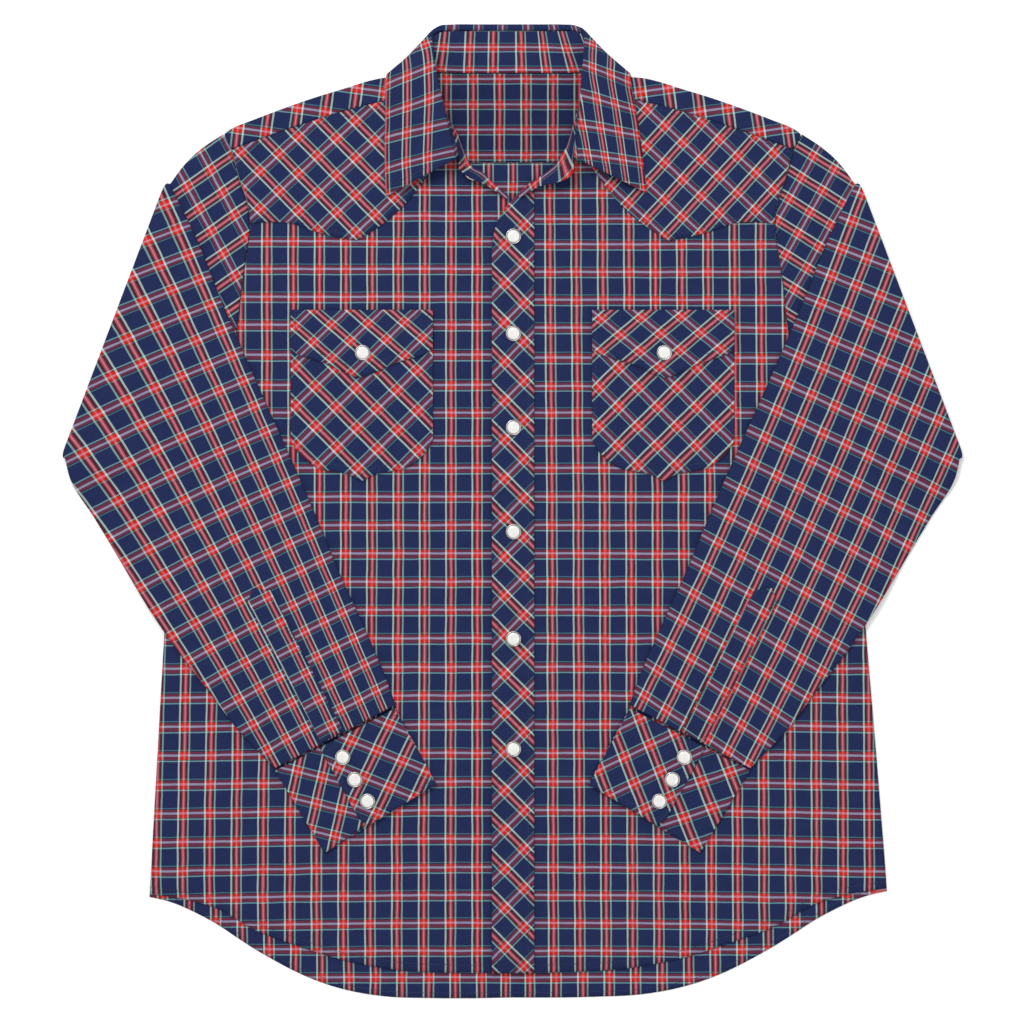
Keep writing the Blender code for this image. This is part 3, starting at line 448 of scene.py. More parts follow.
CUFF_CROSSINGS = {  # the cuffs' visible laps
    -1: ((118.3, -209.5, 0, 0), (74.2, -227.4, 2, 0), (106.8, -186.5, 0, -1), (84.5, -249.7, 2, 1)),
    1: ((119.8, -204.2, 0, 0), (75.3, -225.2, -2, 0), (111.3, -181.0, 0, -1), (115.3, -259.7, -1, 2)),
}
CUFF_UNDER_CROSSINGS = {
    -1: ((171.4, -256.1, 0, 0), (149.0, -260.6, 1, 0), (165.0, -231.9, 0, -1), (175.2, -277.2, 0, 1)),
    1: ((173.0, -258.9, 0, 0), (149.8, -267.2, -1, 0), (190.3, -227.9, 1, -1), (159.5, -290.4, -1, 1)),
}


# --- meshes ---------------------------------------------------------------------------------------

def quads(rows, columns, ring=False):
    i = np.arange(rows - 1)[:, None]
    j = np.arange(columns if ring else columns - 1)[None, :]
    a = i * columns + j
    b = i * columns + (j + 1) % columns
    return np.stack([a, b, b + columns, a + columns], -1).reshape(-1, 4)


def shell(name, points, counts, wall=WALL, ring=False, flip=False, side_counts=None):
    """A cloth piece from a grid of middle points, walled evenly, with its plaid in the UV map."""
    rows, columns = points.shape[:2]
    faces = quads(rows, columns, ring)
    flat = points.reshape(-1, 3) * MM
    u, v = counts
    uv = np.stack([u, v], -1).reshape(-1, 2)
    corner_uv = uv[faces]
    if side_counts is not None:
        pick = side_counts[0].reshape(-1)
        other = np.stack(side_counts[1], -1).reshape(-1, 2)
        corner_uv[pick] = other[faces[pick]]
    if flip:
        faces = faces[:, ::-1]
        corner_uv = corner_uv[:, ::-1]
    mesh = bpy.data.meshes.new(name)
    mesh.from_pydata(flat.tolist(), [], faces.tolist())
    layer = mesh.uv_layers.new(name="plaid")
    layer.data.foreach_set("uv", corner_uv.astype(np.float32).reshape(-1))
    mesh.polygons.foreach_set("use_smooth", [True] * len(mesh.polygons))
    made = bpy.data.objects.new(name, mesh)
    bpy.context.scene.collection.objects.link(made)
    wall_up = made.modifiers.new("wall", "SOLIDIFY")
    wall_up.thickness = wall * MM
    wall_up.offset = 0.0
    wall_up.use_even_offset = True
    wall_up.thickness_clamp = 1.0
    apply_all(made)
    return made


def apply_all(made):
    bpy.ops.object.select_all(action="DESELECT")
    made.select_set(True)
    bpy.context.view_layer.objects.active = made
    for modifier in list(made.modifiers):
        bpy.ops.object.modifier_apply(modifier=modifier.name)


def leaning(plan, level):
    """A body panel's points at their levels, with its sides swung over and its hem a little aslant."""
    x, y = plan[..., 0], plan[..., 1]
    return np.dstack([x + side_lean(x, y), y + HEM_SLANT * x * soft((-250.0 - y) / 90.0), level(x, y)])


def faces_down(plan):
    a, b, c = plan[0, 0], plan[0, 1], plan[1, 0]
    return (b[0] - a[0]) * (c[1] - a[1]) - (b[1] - a[1]) * (c[0] - a[0]) < 0


def keep(made, nodes, inside=False):
    """Ties a cloth piece to the solids it stands for."""
    # The darker copy of the plaid carries painted shade, for the cloth down in the neck opening.
    made.data.materials.append(plaid_with_painted_shade if inside else plaid)
    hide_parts(*nodes)
    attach(made, "root")
    return made


# --- plaid cotton ---------------------------------------------------------------------------------

NAVY = (0.0137, 0.0209, 0.0722)
BROWN = (0.012, 0.003, 0.002)
WEFT_RED = (0.25, 0.028, 0.015)
WARP_RED = (0.545, 0.072, 0.078)
WARP_YARNS = (  # mm from the stripe's middle to where the yarn changes, its colour, 1 in the red zone
    (-99.0, NAVY, 0), (-5.3, (0.42, 0.57, 0.51), 0), (-3.75, (0.087, 0.013, 0.002), 1),
    (-1.4, WARP_RED, 1), (-0.45, (0.68, 0.276, 0.297), 1), (0.45, WARP_RED, 1),
    (1.4, (0.087, 0.013, 0.002), 1), (3.4, (0.225, 0.39, 0.355), 0), (4.8, NAVY, 0),
)
WEFT_YARNS = (
    (-99.0, NAVY, 0), (-5.4, (0.24, 0.49, 0.50), 0), (-4.3, BROWN, 0), (-3.9, WEFT_RED, 1),
    (-1.0, (0.50, 0.49, 0.67), 1), (0.8, WEFT_RED, 1), (2.9, BROWN, 0),
    (3.5, (0.092, 0.255, 0.27), 0), (4.4, NAVY, 0),
)
CROSSING_RED = (0.468, 0.004, 0.006)  # where both sets of yarns are red
PURE_SHARE = 0.42    # how much of that red covers the pale yarns there
SETT = 23.4          # mm in one repeat, for the chart above
YARNS = 64.0         # yarns in one repeat
WEFT_SHARE = 0.4     # how much of the face the weft shows


def add(tree, kind, at=(0, 0), **values):
    node = tree.nodes.new(kind)
    node.location = at
    for key, value in values.items():
        setattr(node, key, value)
    return node


def math_node(tree, operation, first, second=None, clamp=False):
    node = add(tree, "ShaderNodeMath", operation=operation, use_clamp=clamp)
    for socket, value in zip(node.inputs, (first, second)):
        if value is None:
            continue
        if isinstance(value, (int, float)):
            socket.default_value = value
        else:
            tree.links.new(value, socket)
    return node.outputs[0]


def yarn_ramp(tree, position, yarns):
    """Colours of one set of yarns across a repeat."""
    ramp = add(tree, "ShaderNodeValToRGB")
    ramp.color_ramp.interpolation = "CONSTANT"
    band = ramp.color_ramp.elements
    while len(band) > 1:
        band.remove(band[-1])
    for number, (start, colour, red) in enumerate(yarns):
        place = max(0.0, 0.5 + start / SETT)
        stop = band[0] if number == 0 else band.new(place)
        stop.position = place
        stop.color = (*colour, float(red))
    tree.links.new(position, ramp.inputs[0])
    return ramp.outputs


def make_plaid(name, deep):
    """Yarn-dyed plaid; deep is how much light the cloth sends back, in parts of its yarns' colours."""
    material = bpy.data.materials.new(name)
    material.use_nodes = True
    tree = material.node_tree
    link = tree.links.new
    shader = tree.nodes["Principled BSDF"]
    shader.inputs["Roughness"].default_value = 0.86
    shader.inputs["Specular IOR Level"].default_value = 0.05
    shader.inputs["Sheen Weight"].default_value = 0.025
    shader.inputs["Sheen Roughness"].default_value = 0.4
    uv = add(tree, "ShaderNodeUVMap", uv_map="plaid")
    # Yarns wander a little, so no stripe is ruled straight.
    wander = add(tree, "ShaderNodeTexNoise")
    wander.inputs["Scale"].default_value = 0.9
    wander.inputs["Detail"].default_value = 2.0
    link(uv.outputs[0], wander.inputs["Vector"])
    centred = add(tree, "ShaderNodeVectorMath", operation="SUBTRACT")
    centred.inputs[1].default_value = (0.5, 0.5, 0.5)
    link(wander.outputs["Color"], centred.inputs[0])
    drift = add(tree, "ShaderNodeVectorMath", operation="SCALE")
    drift.inputs["Scale"].default_value = 0.055
    link(centred.outputs[0], drift.inputs[0])
    moved = add(tree, "ShaderNodeVectorMath", operation="ADD")
    link(uv.outputs[0], moved.inputs[0])
    link(drift.outputs[0], moved.inputs[1])
    split = add(tree, "ShaderNodeSeparateXYZ")
    link(moved.outputs[0], split.inputs[0])
    across, up = split.outputs[0], split.outputs[1]
    warp_at = math_node(tree, "FRACT", math_node(tree, "ADD", across, 0.5))
    weft_at = math_node(tree, "FRACT", math_node(tree, "ADD", up, 0.5))
    warp, warp_red = yarn_ramp(tree, warp_at, WARP_YARNS)
    weft, weft_red = yarn_ramp(tree, weft_at, WEFT_YARNS)
    # Plain weave: warp and weft take turns on top, yarn by yarn.
    turn = math.pi * YARNS
    over = math_node(tree, "MULTIPLY", math_node(tree, "SINE", math_node(tree, "MULTIPLY", across, turn)),
                     math_node(tree, "SINE", math_node(tree, "MULTIPLY", up, turn)))
    share = math_node(tree, "MULTIPLY_ADD", over, 0.22)
    share.node.inputs[2].default_value = WEFT_SHARE
    woven = add(tree, "ShaderNodeMix", data_type="RGBA")
    link(share, woven.inputs["Factor"])
    link(warp, woven.inputs["A"])
    link(weft, woven.inputs["B"])
    crossed = add(tree, "ShaderNodeMix", data_type="RGBA", blend_type="LIGHTEN")
    crossed.inputs["B"].default_value = (*CROSSING_RED, 1.0)
    both_red = math_node(tree, "MULTIPLY", warp_red, weft_red)
    link(both_red, crossed.inputs["Factor"])
    link(woven.outputs["Result"], crossed.inputs["A"])
    # Soft wash wear: broad, faint changes of depth, and short slubs along the yarns.
    cloudy = add(tree, "ShaderNodeTexNoise")
    cloudy.inputs["Scale"].default_value = 2.3
    cloudy.inputs["Detail"].default_value = 4.0
    link(uv.outputs[0], cloudy.inputs["Vector"])
    slub_map = add(tree, "ShaderNodeMapping")
    slub_map.inputs["Scale"].default_value = (26.0, 3.0, 1.0)
    link(uv.outputs[0], slub_map.inputs["Vector"])
    slub = add(tree, "ShaderNodeTexNoise")
    slub.inputs["Scale"].default_value = 1.0
    slub.inputs["Detail"].default_value = 1.0
    link(slub_map.outputs[0], slub.inputs["Vector"])
    both = math_node(tree, "ADD", math_node(tree, "MULTIPLY", cloudy.outputs["Fac"], 0.30),
                     math_node(tree, "MULTIPLY", slub.outputs["Fac"], 0.18))
    depth = math_node(tree, "ADD", both, deep - 0.24)
    washed = add(tree, "ShaderNodeVectorMath", operation="SCALE")
    pure = add(tree, "ShaderNodeMix", data_type="RGBA")
    pure.inputs["B"].default_value = (*CROSSING_RED, 1.0)
    link(math_node(tree, "MULTIPLY", both_red, PURE_SHARE), pure.inputs["Factor"])
    link(crossed.outputs["Result"], pure.inputs["A"])
    link(pure.outputs["Result"], washed.inputs[0])
    link(depth, washed.inputs["Scale"])
    link(washed.outputs[0], shader.inputs["Base Color"])
    # Relief of the yarns and a faint pucker.
    relief = math_node(tree, "ADD", math_node(tree, "MULTIPLY", over, 0.5),
                       math_node(tree, "MULTIPLY", slub.outputs["Fac"], 0.8))
    bump = add(tree, "ShaderNodeBump")
    bump.inputs["Strength"].default_value = 0.35
    bump.inputs["Distance"].default_value = 0.00012
    link(relief, bump.inputs["Height"])
    link(bump.outputs[0], shader.inputs["Normal"])
    return material


def make_thread():
    material = bpy.data.materials.new("navy_thread")
    material.use_nodes = True
    tree = material.node_tree
    shader = tree.nodes["Principled BSDF"]
    shader.inputs["Roughness"].default_value = 0.7
    place = add(tree, "ShaderNodeTexCoord")
    twist = add(tree, "ShaderNodeTexNoise")
    twist.inputs["Scale"].default_value = 2500.0
    tree.links.new(place.outputs["Object"], twist.inputs["Vector"])
    tint = add(tree, "ShaderNodeValToRGB")
    band = tint.color_ramp.elements
    band[0].color, band[1].color = (0.008, 0.012, 0.040, 1.0), (0.035, 0.045, 0.11, 1.0)
    tree.links.new(twist.outputs["Fac"], tint.inputs[0])
    tree.links.new(tint.outputs[0], shader.inputs["Base Color"])
    return material


STITCH = 2.3         # length of a stitch
STITCH_PITCH = 3.2
THREAD = 0.24        # half width of the thread


def sew(name, lines, wall):
    """Rows of stitches lying on a piece's upper face, one small closed lozenge each."""
    points, faces = [], []
    for line in lines:
        line = np.asarray(line)
        count = int(length_of(line) / STITCH_PITCH)
        spots = along(line, (np.arange(count) + 0.5) / count)
        ahead = along(line, (np.arange(count) + 0.6) / count) - spots
        for spot, way in zip(spots, ahead):
            way = way / np.linalg.norm(way)
            side = np.cross(way, (0.0, 0.0, 1.0))
            side = side / np.linalg.norm(side) * THREAD
            up = np.array([0.0, 0.0, THREAD * 0.8])
            centre = spot + (0.0, 0.0, wall / 2 + 0.08)
            first = len(points)
            points.append(centre - way * STITCH / 2)
            for share in (-0.32, 0.32):
                points += [centre + way * STITCH * share + off for off in (side, up, -side, -up)]
            points.append(centre + way * STITCH / 2)
            for k in range(4):
                a, b = first + 1 + k, first + 1 + (k + 1) % 4
                faces += [(first, a, b), (a, a + 4, b + 4, b), (first + 9, b + 4, a + 4)]
    mesh = bpy.data.meshes.new(name)
    mesh.from_pydata((np.array(points) * MM).tolist(), [], faces)
    mesh.polygons.foreach_set("use_smooth", [True] * len(mesh.polygons))
    mesh.materials.append(thread)
    made = bpy.data.objects.new(name, mesh)
    bpy.context.scene.collection.objects.link(made)
    bpy.ops.object.select_all(action="DESELECT")
    made.select_set(True)
    bpy.context.view_layer.objects.active = made
    bpy.ops.object.mode_set(mode="EDIT")
    bpy.ops.mesh.select_all(action="SELECT")
    bpy.ops.mesh.normals_make_consistent(inside=False)
    bpy.ops.object.mode_set(mode="OBJECT")
    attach(made, "root")
    return made


thread = make_thread()
plaid = make_plaid("plaid_cotton", 0.91)
plaid_with_painted_shade = make_plaid("plaid_cotton_painted_shade", 0.74)  # a darker copy of the plaid, its colour lowered to paint the shade down in the neck opening


# --- body -----------------------------------------------------------------------------------------

def make_back_panel():
    sides = []
    for side in (-1, 1):
        rail = joined(smooth_line(mirrored(ARMHOLE[2:], side)), smooth_line(mirrored(SIDE[:-2], side)),
                      np.array([(side * SIDE[-3][0], SIDE[-3][1]), (side * BACK_HEM[0][0], BACK_HEM[0][1])]))
        rail[0, 1] -= GAP
        sides.append(rail)
    top = np.array([sides[0][0], sides[1][0]])
    half = smooth_line(BACK_HEM)
    hem = joined(half * (-1, 1), half[::-1])
    plan = fill(top, hem, sides[0], sides[1], 4.0)
    points = leaning(plan, lambda x, y: BACK + 0 * x)
    counts = back_grain(points[..., 0], points[..., 1])
    made = shell("back_panel_cloth", points, counts, flip=faces_down(plan))
    sew("back_hem_stitches", [points[-2]], WALL)
    return keep(made, ["back_panel"])


YOKE_TURN = 8.0  # degrees the plaid is turned on each half of the back yoke


def yoke_grain(x, y):
    """Both halves of the plaid on the outer back yoke, meeting smoothly behind the neck."""
    left = lattice(x, y, (-187.2, 351.0), -90.0 - YOKE_TURN, -YOKE_TURN, 24.4, 24.4)
    right = lattice(x, y, (187.2, 351.0), -90.0 + YOKE_TURN, YOKE_TURN, 24.4, 24.4)
    shift = (round(float(lattice(0.0, 340.0, (-187.2, 351.0), -98.0, -8.0, 24.4, 24.4)[0])),
             round(float(lattice(0.0, 340.0, (187.2, 351.0), -82.0, 8.0, 24.4, 24.4)[0])))
    share = soft((x + 70.0) / 140.0)
    u = (left[0] - shift[0]) * (1 - share) + (right[0] - shift[1]) * share
    v = left[1] * (1 - share) + right[1] * share
    return u, v


def back_yoke_columns():
    """The outer back yoke in one piece: flat behind the neck, folded over both shoulders to the front."""
    half = SHOULDER[0][0]
    shares = np.linspace(-1, 1, 151)
    edge = np.array([(abs(x), y) for x, y in SHOULDER])
    fold_line = smooth_line(edge)
    neck_share = SHOULDER[-1][0] / half
    rows = []
    for share in shares:
        fold_x = abs(share) * half
        fold_y = float(np.interp(fold_x, fold_line[::-1, 0], fold_line[::-1, 1]))
        level = float(yoke_back_level(share * half, fold_y))
        radius = (WRAP_LEVEL - level) / 2
        on = abs(share) >= neck_share
        high = fold_y - (radius + CLOTH / 2 if on else 0.0)
        low = ARMHOLE[2][1]
        column = []
        for part in np.linspace(0, 1, 22):
            y = low + (high - low) * part
            x = share * float(read([(b, a) for a, b in ARMHOLE[:3]], y))
            column.append((x, y, float(yoke_back_level(x, y))))
        x, y, z = column[-1]
        for lean in np.radians(np.linspace(-72, 90, 10)):
            column.append((x, y + radius * math.cos(lean), z + radius + radius * math.sin(lean)))
        part = (abs(share) - neck_share) / (1 - neck_share)
        seam_x = FRONT_SEAM[-1][0] + max(part, 0.0) * (FRONT_SEAM[0][0] - FRONT_SEAM[-1][0])
        seam_y = float(read(FRONT_SEAM, seam_x)) + GAP
        top = column[-1]
        for part in np.linspace(0, 1, 9)[1:]:
            swell = 0.5 * math.sin(math.pi * part)
            column.append((top[0] + (math.copysign(seam_x, share) - top[0]) * part,
                           top[1] + (seam_y - top[1]) * part, WRAP_LEVEL + swell))
        rows.append(column if on else column[:22])
    return rows


def build_back_yoke():
    columns = back_yoke_columns()
    points, faces, firsts = [], [], []
    for column in columns:
        firsts.append((len(points), len(column)))
        points += column
    for (a, tall), (b, next_tall) in zip(firsts, firsts[1:]):
        for i in range(min(tall, next_tall) - 1):
            faces.append((a + i, b + i, b + i + 1, a + i + 1))
    points = np.array(points)
    counts = yoke_grain(points[:, 0], points[:, 1])
    return mesh_piece("back_yoke_cloth", points, np.array(faces)[:, ::-1], counts)


def mesh_piece(name, points, faces, counts, wall=WALL):
    """A cloth piece from free points and four-sided faces."""
    mesh = bpy.data.meshes.new(name)
    mesh.from_pydata((points * MM).tolist(), [], faces.tolist())
    uv = np.stack(counts, -1)[faces]
    layer = mesh.uv_layers.new(name="plaid")
    layer.data.foreach_set("uv", uv.astype(np.float32).reshape(-1))
    mesh.polygons.foreach_set("use_smooth", [True] * len(mesh.polygons))
    made = bpy.data.objects.new(name, mesh)
    bpy.context.scene.collection.objects.link(made)
    wall_up = made.modifiers.new("wall", "SOLIDIFY")
    wall_up.thickness = wall * MM
    wall_up.offset = 0.0
    wall_up.use_even_offset = True
    apply_all(made)
    return made


def build_back_yoke_inside():
    """The inner back yoke, seen through the neck opening, in the darker plaid copy that carries painted
    shade.
    """
    half = SHOULDER[0][0]
    fold_line = smooth_line([(abs(x), y) for x, y in SHOULDER])
    shares = np.linspace(-0.965, 0.965, 140)
    neck_share = SHOULDER[-1][0] / half
    points = np.zeros((20, len(shares), 3))
    for k, share in enumerate(shares):
        on = abs(share) >= neck_share
        fold_y = float(np.interp(abs(share) * half, fold_line[::-1, 0], fold_line[::-1, 1]))
        high = fold_y - ((WRAP_LEVEL - BACK) / 2 + CLOTH / 2 + 3.5 if on else 0.0)
        for i, part in enumerate(np.linspace(0, 1, 20)):
            y = ARMHOLE[2][1] + (high - ARMHOLE[2][1]) * part
            x = share * float(read([(b, a) for a, b in ARMHOLE[:3]], y))
            points[i, k] = (x, y, float(yoke_back_level(x, y)) + LAYER)
    x, y = points[..., 0], points[..., 1]
    counts = (x - 12.0) / 23.2, (y - 310.5) / 22.0
    made = shell("back_yoke_inside_cloth", points, counts)
    # This piece takes the darker plaid copy: painted shade in the neck opening.
    return keep(made, ["back_yoke_inside"], inside=True)


def front_plan(side, neck, strip):
    outer = joined(smooth_line(mirrored(ARMHOLE[1:], side)), smooth_line(mirrored(SIDE, side)))
    outer[0, 1] -= 0.6
    seam = smooth_line([(x * side, y - GAP) for x, y in FRONT_SEAM])
    seam[0] = outer[0]
    seam[-1] = (neck[0][0], neck[0][1] - GAP)
    edge = [(row[1], row[2]) for row in strip]
    inner = joined(smooth_line([tuple(seam[-1])] + list(neck[1:]) + edge[:5]), np.array([edge[4], edge[-1]]))
    hem = smooth_line(mirrored(FRONT_HEM, side))
    hem = joined(hem, np.array([hem[-1], (edge[-1][0], hem[-1][1])]))
    return fill(seam, hem, outer, inner)


def make_front(name, node, side, neck, strip, level, grain):
    plan = front_plan(side, neck, strip)
    points = leaning(plan, level)
    counts = grain(points[..., 0], points[..., 1])
    made = shell(name, points, counts, flip=faces_down(plan))
    sew(f"{node}_stitches", [points[-3]], WALL)
    return keep(made, [node])


def stitched(plan, lines, inset, deep=0.28, half=1.3):
    """How far stitching pulls the cloth down along lines set in from a piece's edges."""
    near = np.min([nearness(plan, line) for line in lines], axis=0)
    return -deep * np.exp(-((near - inset) / half) ** 2)


def make_placket():
    left = np.array([(PLACKET_IN, STRIP_LEFT[0][0] + 0.2), (PLACKET_IN, STRIP_LEFT[-1][0])])
    edge = [(row[1] - PLACKET_PROUD, row[2]) for row in STRIP_LEFT]
    free = joined(smooth_line(edge[:5]), np.array([edge[4], edge[-1]]))
    top = np.array([left[0], free[0]])
    foot = np.array([left[-1], free[-1]])
    plan = fill(top, foot, left, free, 2.6)
    pull = stitched(plan, [left, free], 5.5)
    x, y = plan[..., 0], plan[..., 1]
    counts = lattice(x, y, (-7.4, -311.0), -45.0, 45.0, 24.0, 24.0)
    points = np.dstack([plan, left_front_level(x, y) + LAYER + 0.15 + pull])
    made = shell("placket_cloth", points, counts, WALL_STIFF, flip=faces_down(plan))
    sew("placket_stitches", [points[:, 2], points[:, -3]], WALL_STIFF)
    return keep(made, ["placket"])


def make_front_yoke(side, word, neck):
    top = smooth_line([(x * side, y - GAP) for x, y in FRONT_SEAM])
    outer = smooth_line(mirrored(ARMHOLE[1:6], side))
    outer[0, 1] -= 0.6
    top[0] = outer[0]
    top[-1] = (neck[0][0], neck[0][1] - GAP)
    end = [point for point in neck if abs(point[1] - 328.4) < 0.01][0]
    low = mirrored(FRONT_YOKE_TIP[:-1], side) + [end]
    low = joined(smooth_line(low[:5], 10), smooth_line(low[4:], 10))
    inner = smooth_line([tuple(top[-1])] + [point for point in neck[1:] if point[1] >= end[1]])
    plan = fill(top, low, outer, inner, 3.2)
    pull = stitched(plan, [low], 1.8, 0.2)
    x, y = plan[..., 0], plan[..., 1]
    counts = charted(YOKE_CROSSINGS[side])(np.abs(x), y)
    points = np.dstack([plan, front_level(x, y) + LAYER + pull])
    made = shell(f"front_yoke_{word}_cloth", points, counts, flip=faces_down(plan))
    sew(f"front_yoke_{word}_stitches", [points[-2], points[1]], WALL)
    return keep(made, [f"front_yoke_{word}"])


def make_patch(name, node, side, top, foot, layers, crossings, lift):
    low = [(side * (POCKET_MIDDLE + off), y) for off, y in foot]
    tip = len(low) // 2
    low = joined(smooth_line(low[:tip + 1], 10), smooth_line(low[tip:], 10))
    high = np.array([(low[0][0], top), (low[-1][0], top)])
    ends = [np.array([high[0], low[0]]), np.array([high[1], low[-1]])]
    plan = fill(high, low, ends[0], ends[1], 2.4)
    x, y = plan[..., 0], plan[..., 1]
    rim = [low] + ends if layers == 1 else [low]
    pull = stitched(plan, rim, 4.5 if layers == 1 else 5.0, 0.22, 1.2)
    rise = lift * soft((top - y) / 30.0)
    points = np.dstack([plan, front_level(x, y) + layers * LAYER + pull + rise])
    counts = charted(crossings[side])(np.abs(x), y)
    wall = WALL_STIFF if layers == 2 else WALL
    made = shell(name, points, counts, wall, flip=faces_down(plan))
    sew(f"{node}_stitches", [points[:-3, 2], points[:-3, -3], points[-3, 2:-2]], wall)
    return keep(made, [node])


# --- sleeves and cuffs ----------------------------------------------------------------------------

def armhole_line():
    line = smooth_line([(x + 0.75, y) for x, y in ARMHOLE])
    line[0] += (-0.05, -1.8)
    line[-1] += (0.05, 0.5)
    return line


# Shares across a flattened sleeve, close together at its two edges, and how far the cloth lifts there.
EDGE_SHARES = np.array([0.0, 0.004, 0.011, 0.02, 0.034])
EDGE_LIFT = np.array([0.0, 0.42, 0.72, 0.9, 0.98])
ACROSS = np.concatenate([EDGE_SHARES, np.linspace(0.06, 0.94, 32), 1.0 - EDGE_SHARES[::-1]])
LIFT = np.concatenate([EDGE_LIFT, np.ones(32), EDGE_LIFT[::-1]])


def folded_grain(side, x, y):
    """Plaid on the sleeve after its fold."""
    return charted(FOLDED_CROSSINGS[side], bent=True)(np.abs(x), y)


def first_grain(side, x, y):
    """Plaid on the sleeve between armhole and fold."""
    return charted(FIRST_CROSSINGS[side])(np.abs(x), y)


def sleeve_rings(side):
    """Middle points of the flattened tube, ring by ring from the armhole, over the fold, to the cuff."""
    seam = armhole_line()
    top, low = np.array(SLEEVE_FOLD_TOP), np.array(SLEEVE_FOLD_LOW)
    outward = np.array([-(low - top)[1], (low - top)[0]])
    outward = outward / np.linalg.norm(outward)
    on_fold = top + (low - top) * ACROSS[:, None]
    on_seam = along(seam, ACROSS)
    order = np.concatenate([np.arange(len(ACROSS)), np.arange(len(ACROSS) - 2, 0, -1)])
    sign = np.concatenate([np.ones(len(ACROSS)), -np.ones(len(ACROSS) - 2)])
    height = (LIFT[order] * sign) * TUBE_HALF
    rings = []
    bulge = np.exp(-((ACROSS / 0.08) ** 2))[:, None] * SLEEVE_BULGE
    for share in np.linspace(0, 1, 30):
        plan = (on_seam + (on_fold - on_seam) * share + bulge * math.sin(math.pi * share))[order]
        puff = 1.0 + 0.10 * math.sin(math.pi * share)
        rings.append(np.column_stack([plan, BACK + TUBE_HALF + height * np.where(sign > 0, puff, 1.0)]))
    for lean in np.radians(np.linspace(18, 180, 10)):
        reach = (TURN - height) * math.sin(lean)
        plan = on_fold[order] + outward * reach[:, None]
        rings.append(np.column_stack([plan, BACK + TUBE_HALF + TURN - (TURN - height) * math.cos(lean)]))
    inner = smooth_line([SLEEVE_FOLD_TOP] + [row[:2] for row in SLEEVE_LOW], 12)
    outer = smooth_line([SLEEVE_FOLD_LOW] + [row[2:] for row in SLEEVE_LOW], 12)
    for a, b in zip(inner[1:], outer[1:]):
        plan = (a + (b - a) * ACROSS[:, None])[order]
        level = sleeve_support(plan[:, 0], plan[:, 1]) + CLOTH / 2 + TUBE_HALF
        ease = sleeve_ease(side, plan[:, 0], plan[:, 1]) * np.where(sign < 0, LIFT[order], 0.0)
        rings.append(np.column_stack([plan, level - height + ease]))
    return np.array(rings)


def make_sleeve(side, word):
    rings = sleeve_rings(side)
    rings[..., 0] *= side
    x, y = rings[..., 0], rings[..., 1]
    folded, first = folded_grain(side, x, y), first_grain(side, x, y)
    # The upper layer before the fold runs on into the lower layer after it, and the other way about.
    columns = rings.shape[1]
    faces_upper = np.zeros((len(rings) - 1, columns), bool)
    faces_upper[:, :len(ACROSS) - 1] = True
    made = shell(f"sleeve_{word}_cloth", rings, folded, ring=True,
                 flip=side > 0, side_counts=(faces_upper, first))
    return keep(made, [f"sleeve_{word}"])


def sleeve_top(side, x, y):
    return (sleeve_support(x, y) + CLOTH / 2 + 2 * TUBE_HALF + sleeve_ease(side, x, y))


def make_sleeve_placket(side, word):
    x0, y0, x1, y1 = SLEEVE_PLACKET
    start, end = np.array([x0, y0]), np.array([x1, y1])
    way = (end - start) / np.linalg.norm(end - start)
    across = np.array([-way[1], way[0]]) * SLEEVE_PLACKET_WIDE / 2
    # The upper end is cut to a shallow point.
    point = start - way * 2.0
    head = np.array([start + across + way * 7.0, point + across * 0.1, start - across + way * 7.0])
    plan = fill(head, np.array([end + across, end - across]), np.array([head[0], end + across]),
                np.array([head[-1], end - across]), 2.2)
    edges = [np.array([head[0], end + across]), np.array([head[-1], end - across]), head]
    pull = stitched(plan, edges, 2.4, 0.2, 1.0)
    x, y = plan[..., 0], plan[..., 1]
    z = sleeve_top(side, x, y) + CLOTH / 2 + GAP + CLOTH / 2 + pull
    counts = folded_grain(side, x + 7.0, y + 6.0)
    points = np.dstack([x * side, y, z])
    made = shell(f"sleeve_placket_{word}_cloth", points, counts, WALL,
                 flip=faces_down(points))
    sew(f"sleeve_placket_{word}_stitches", [points[:, 1], points[:, -2]], WALL)
    return keep(made, [f"sleeve_placket_{word}"])


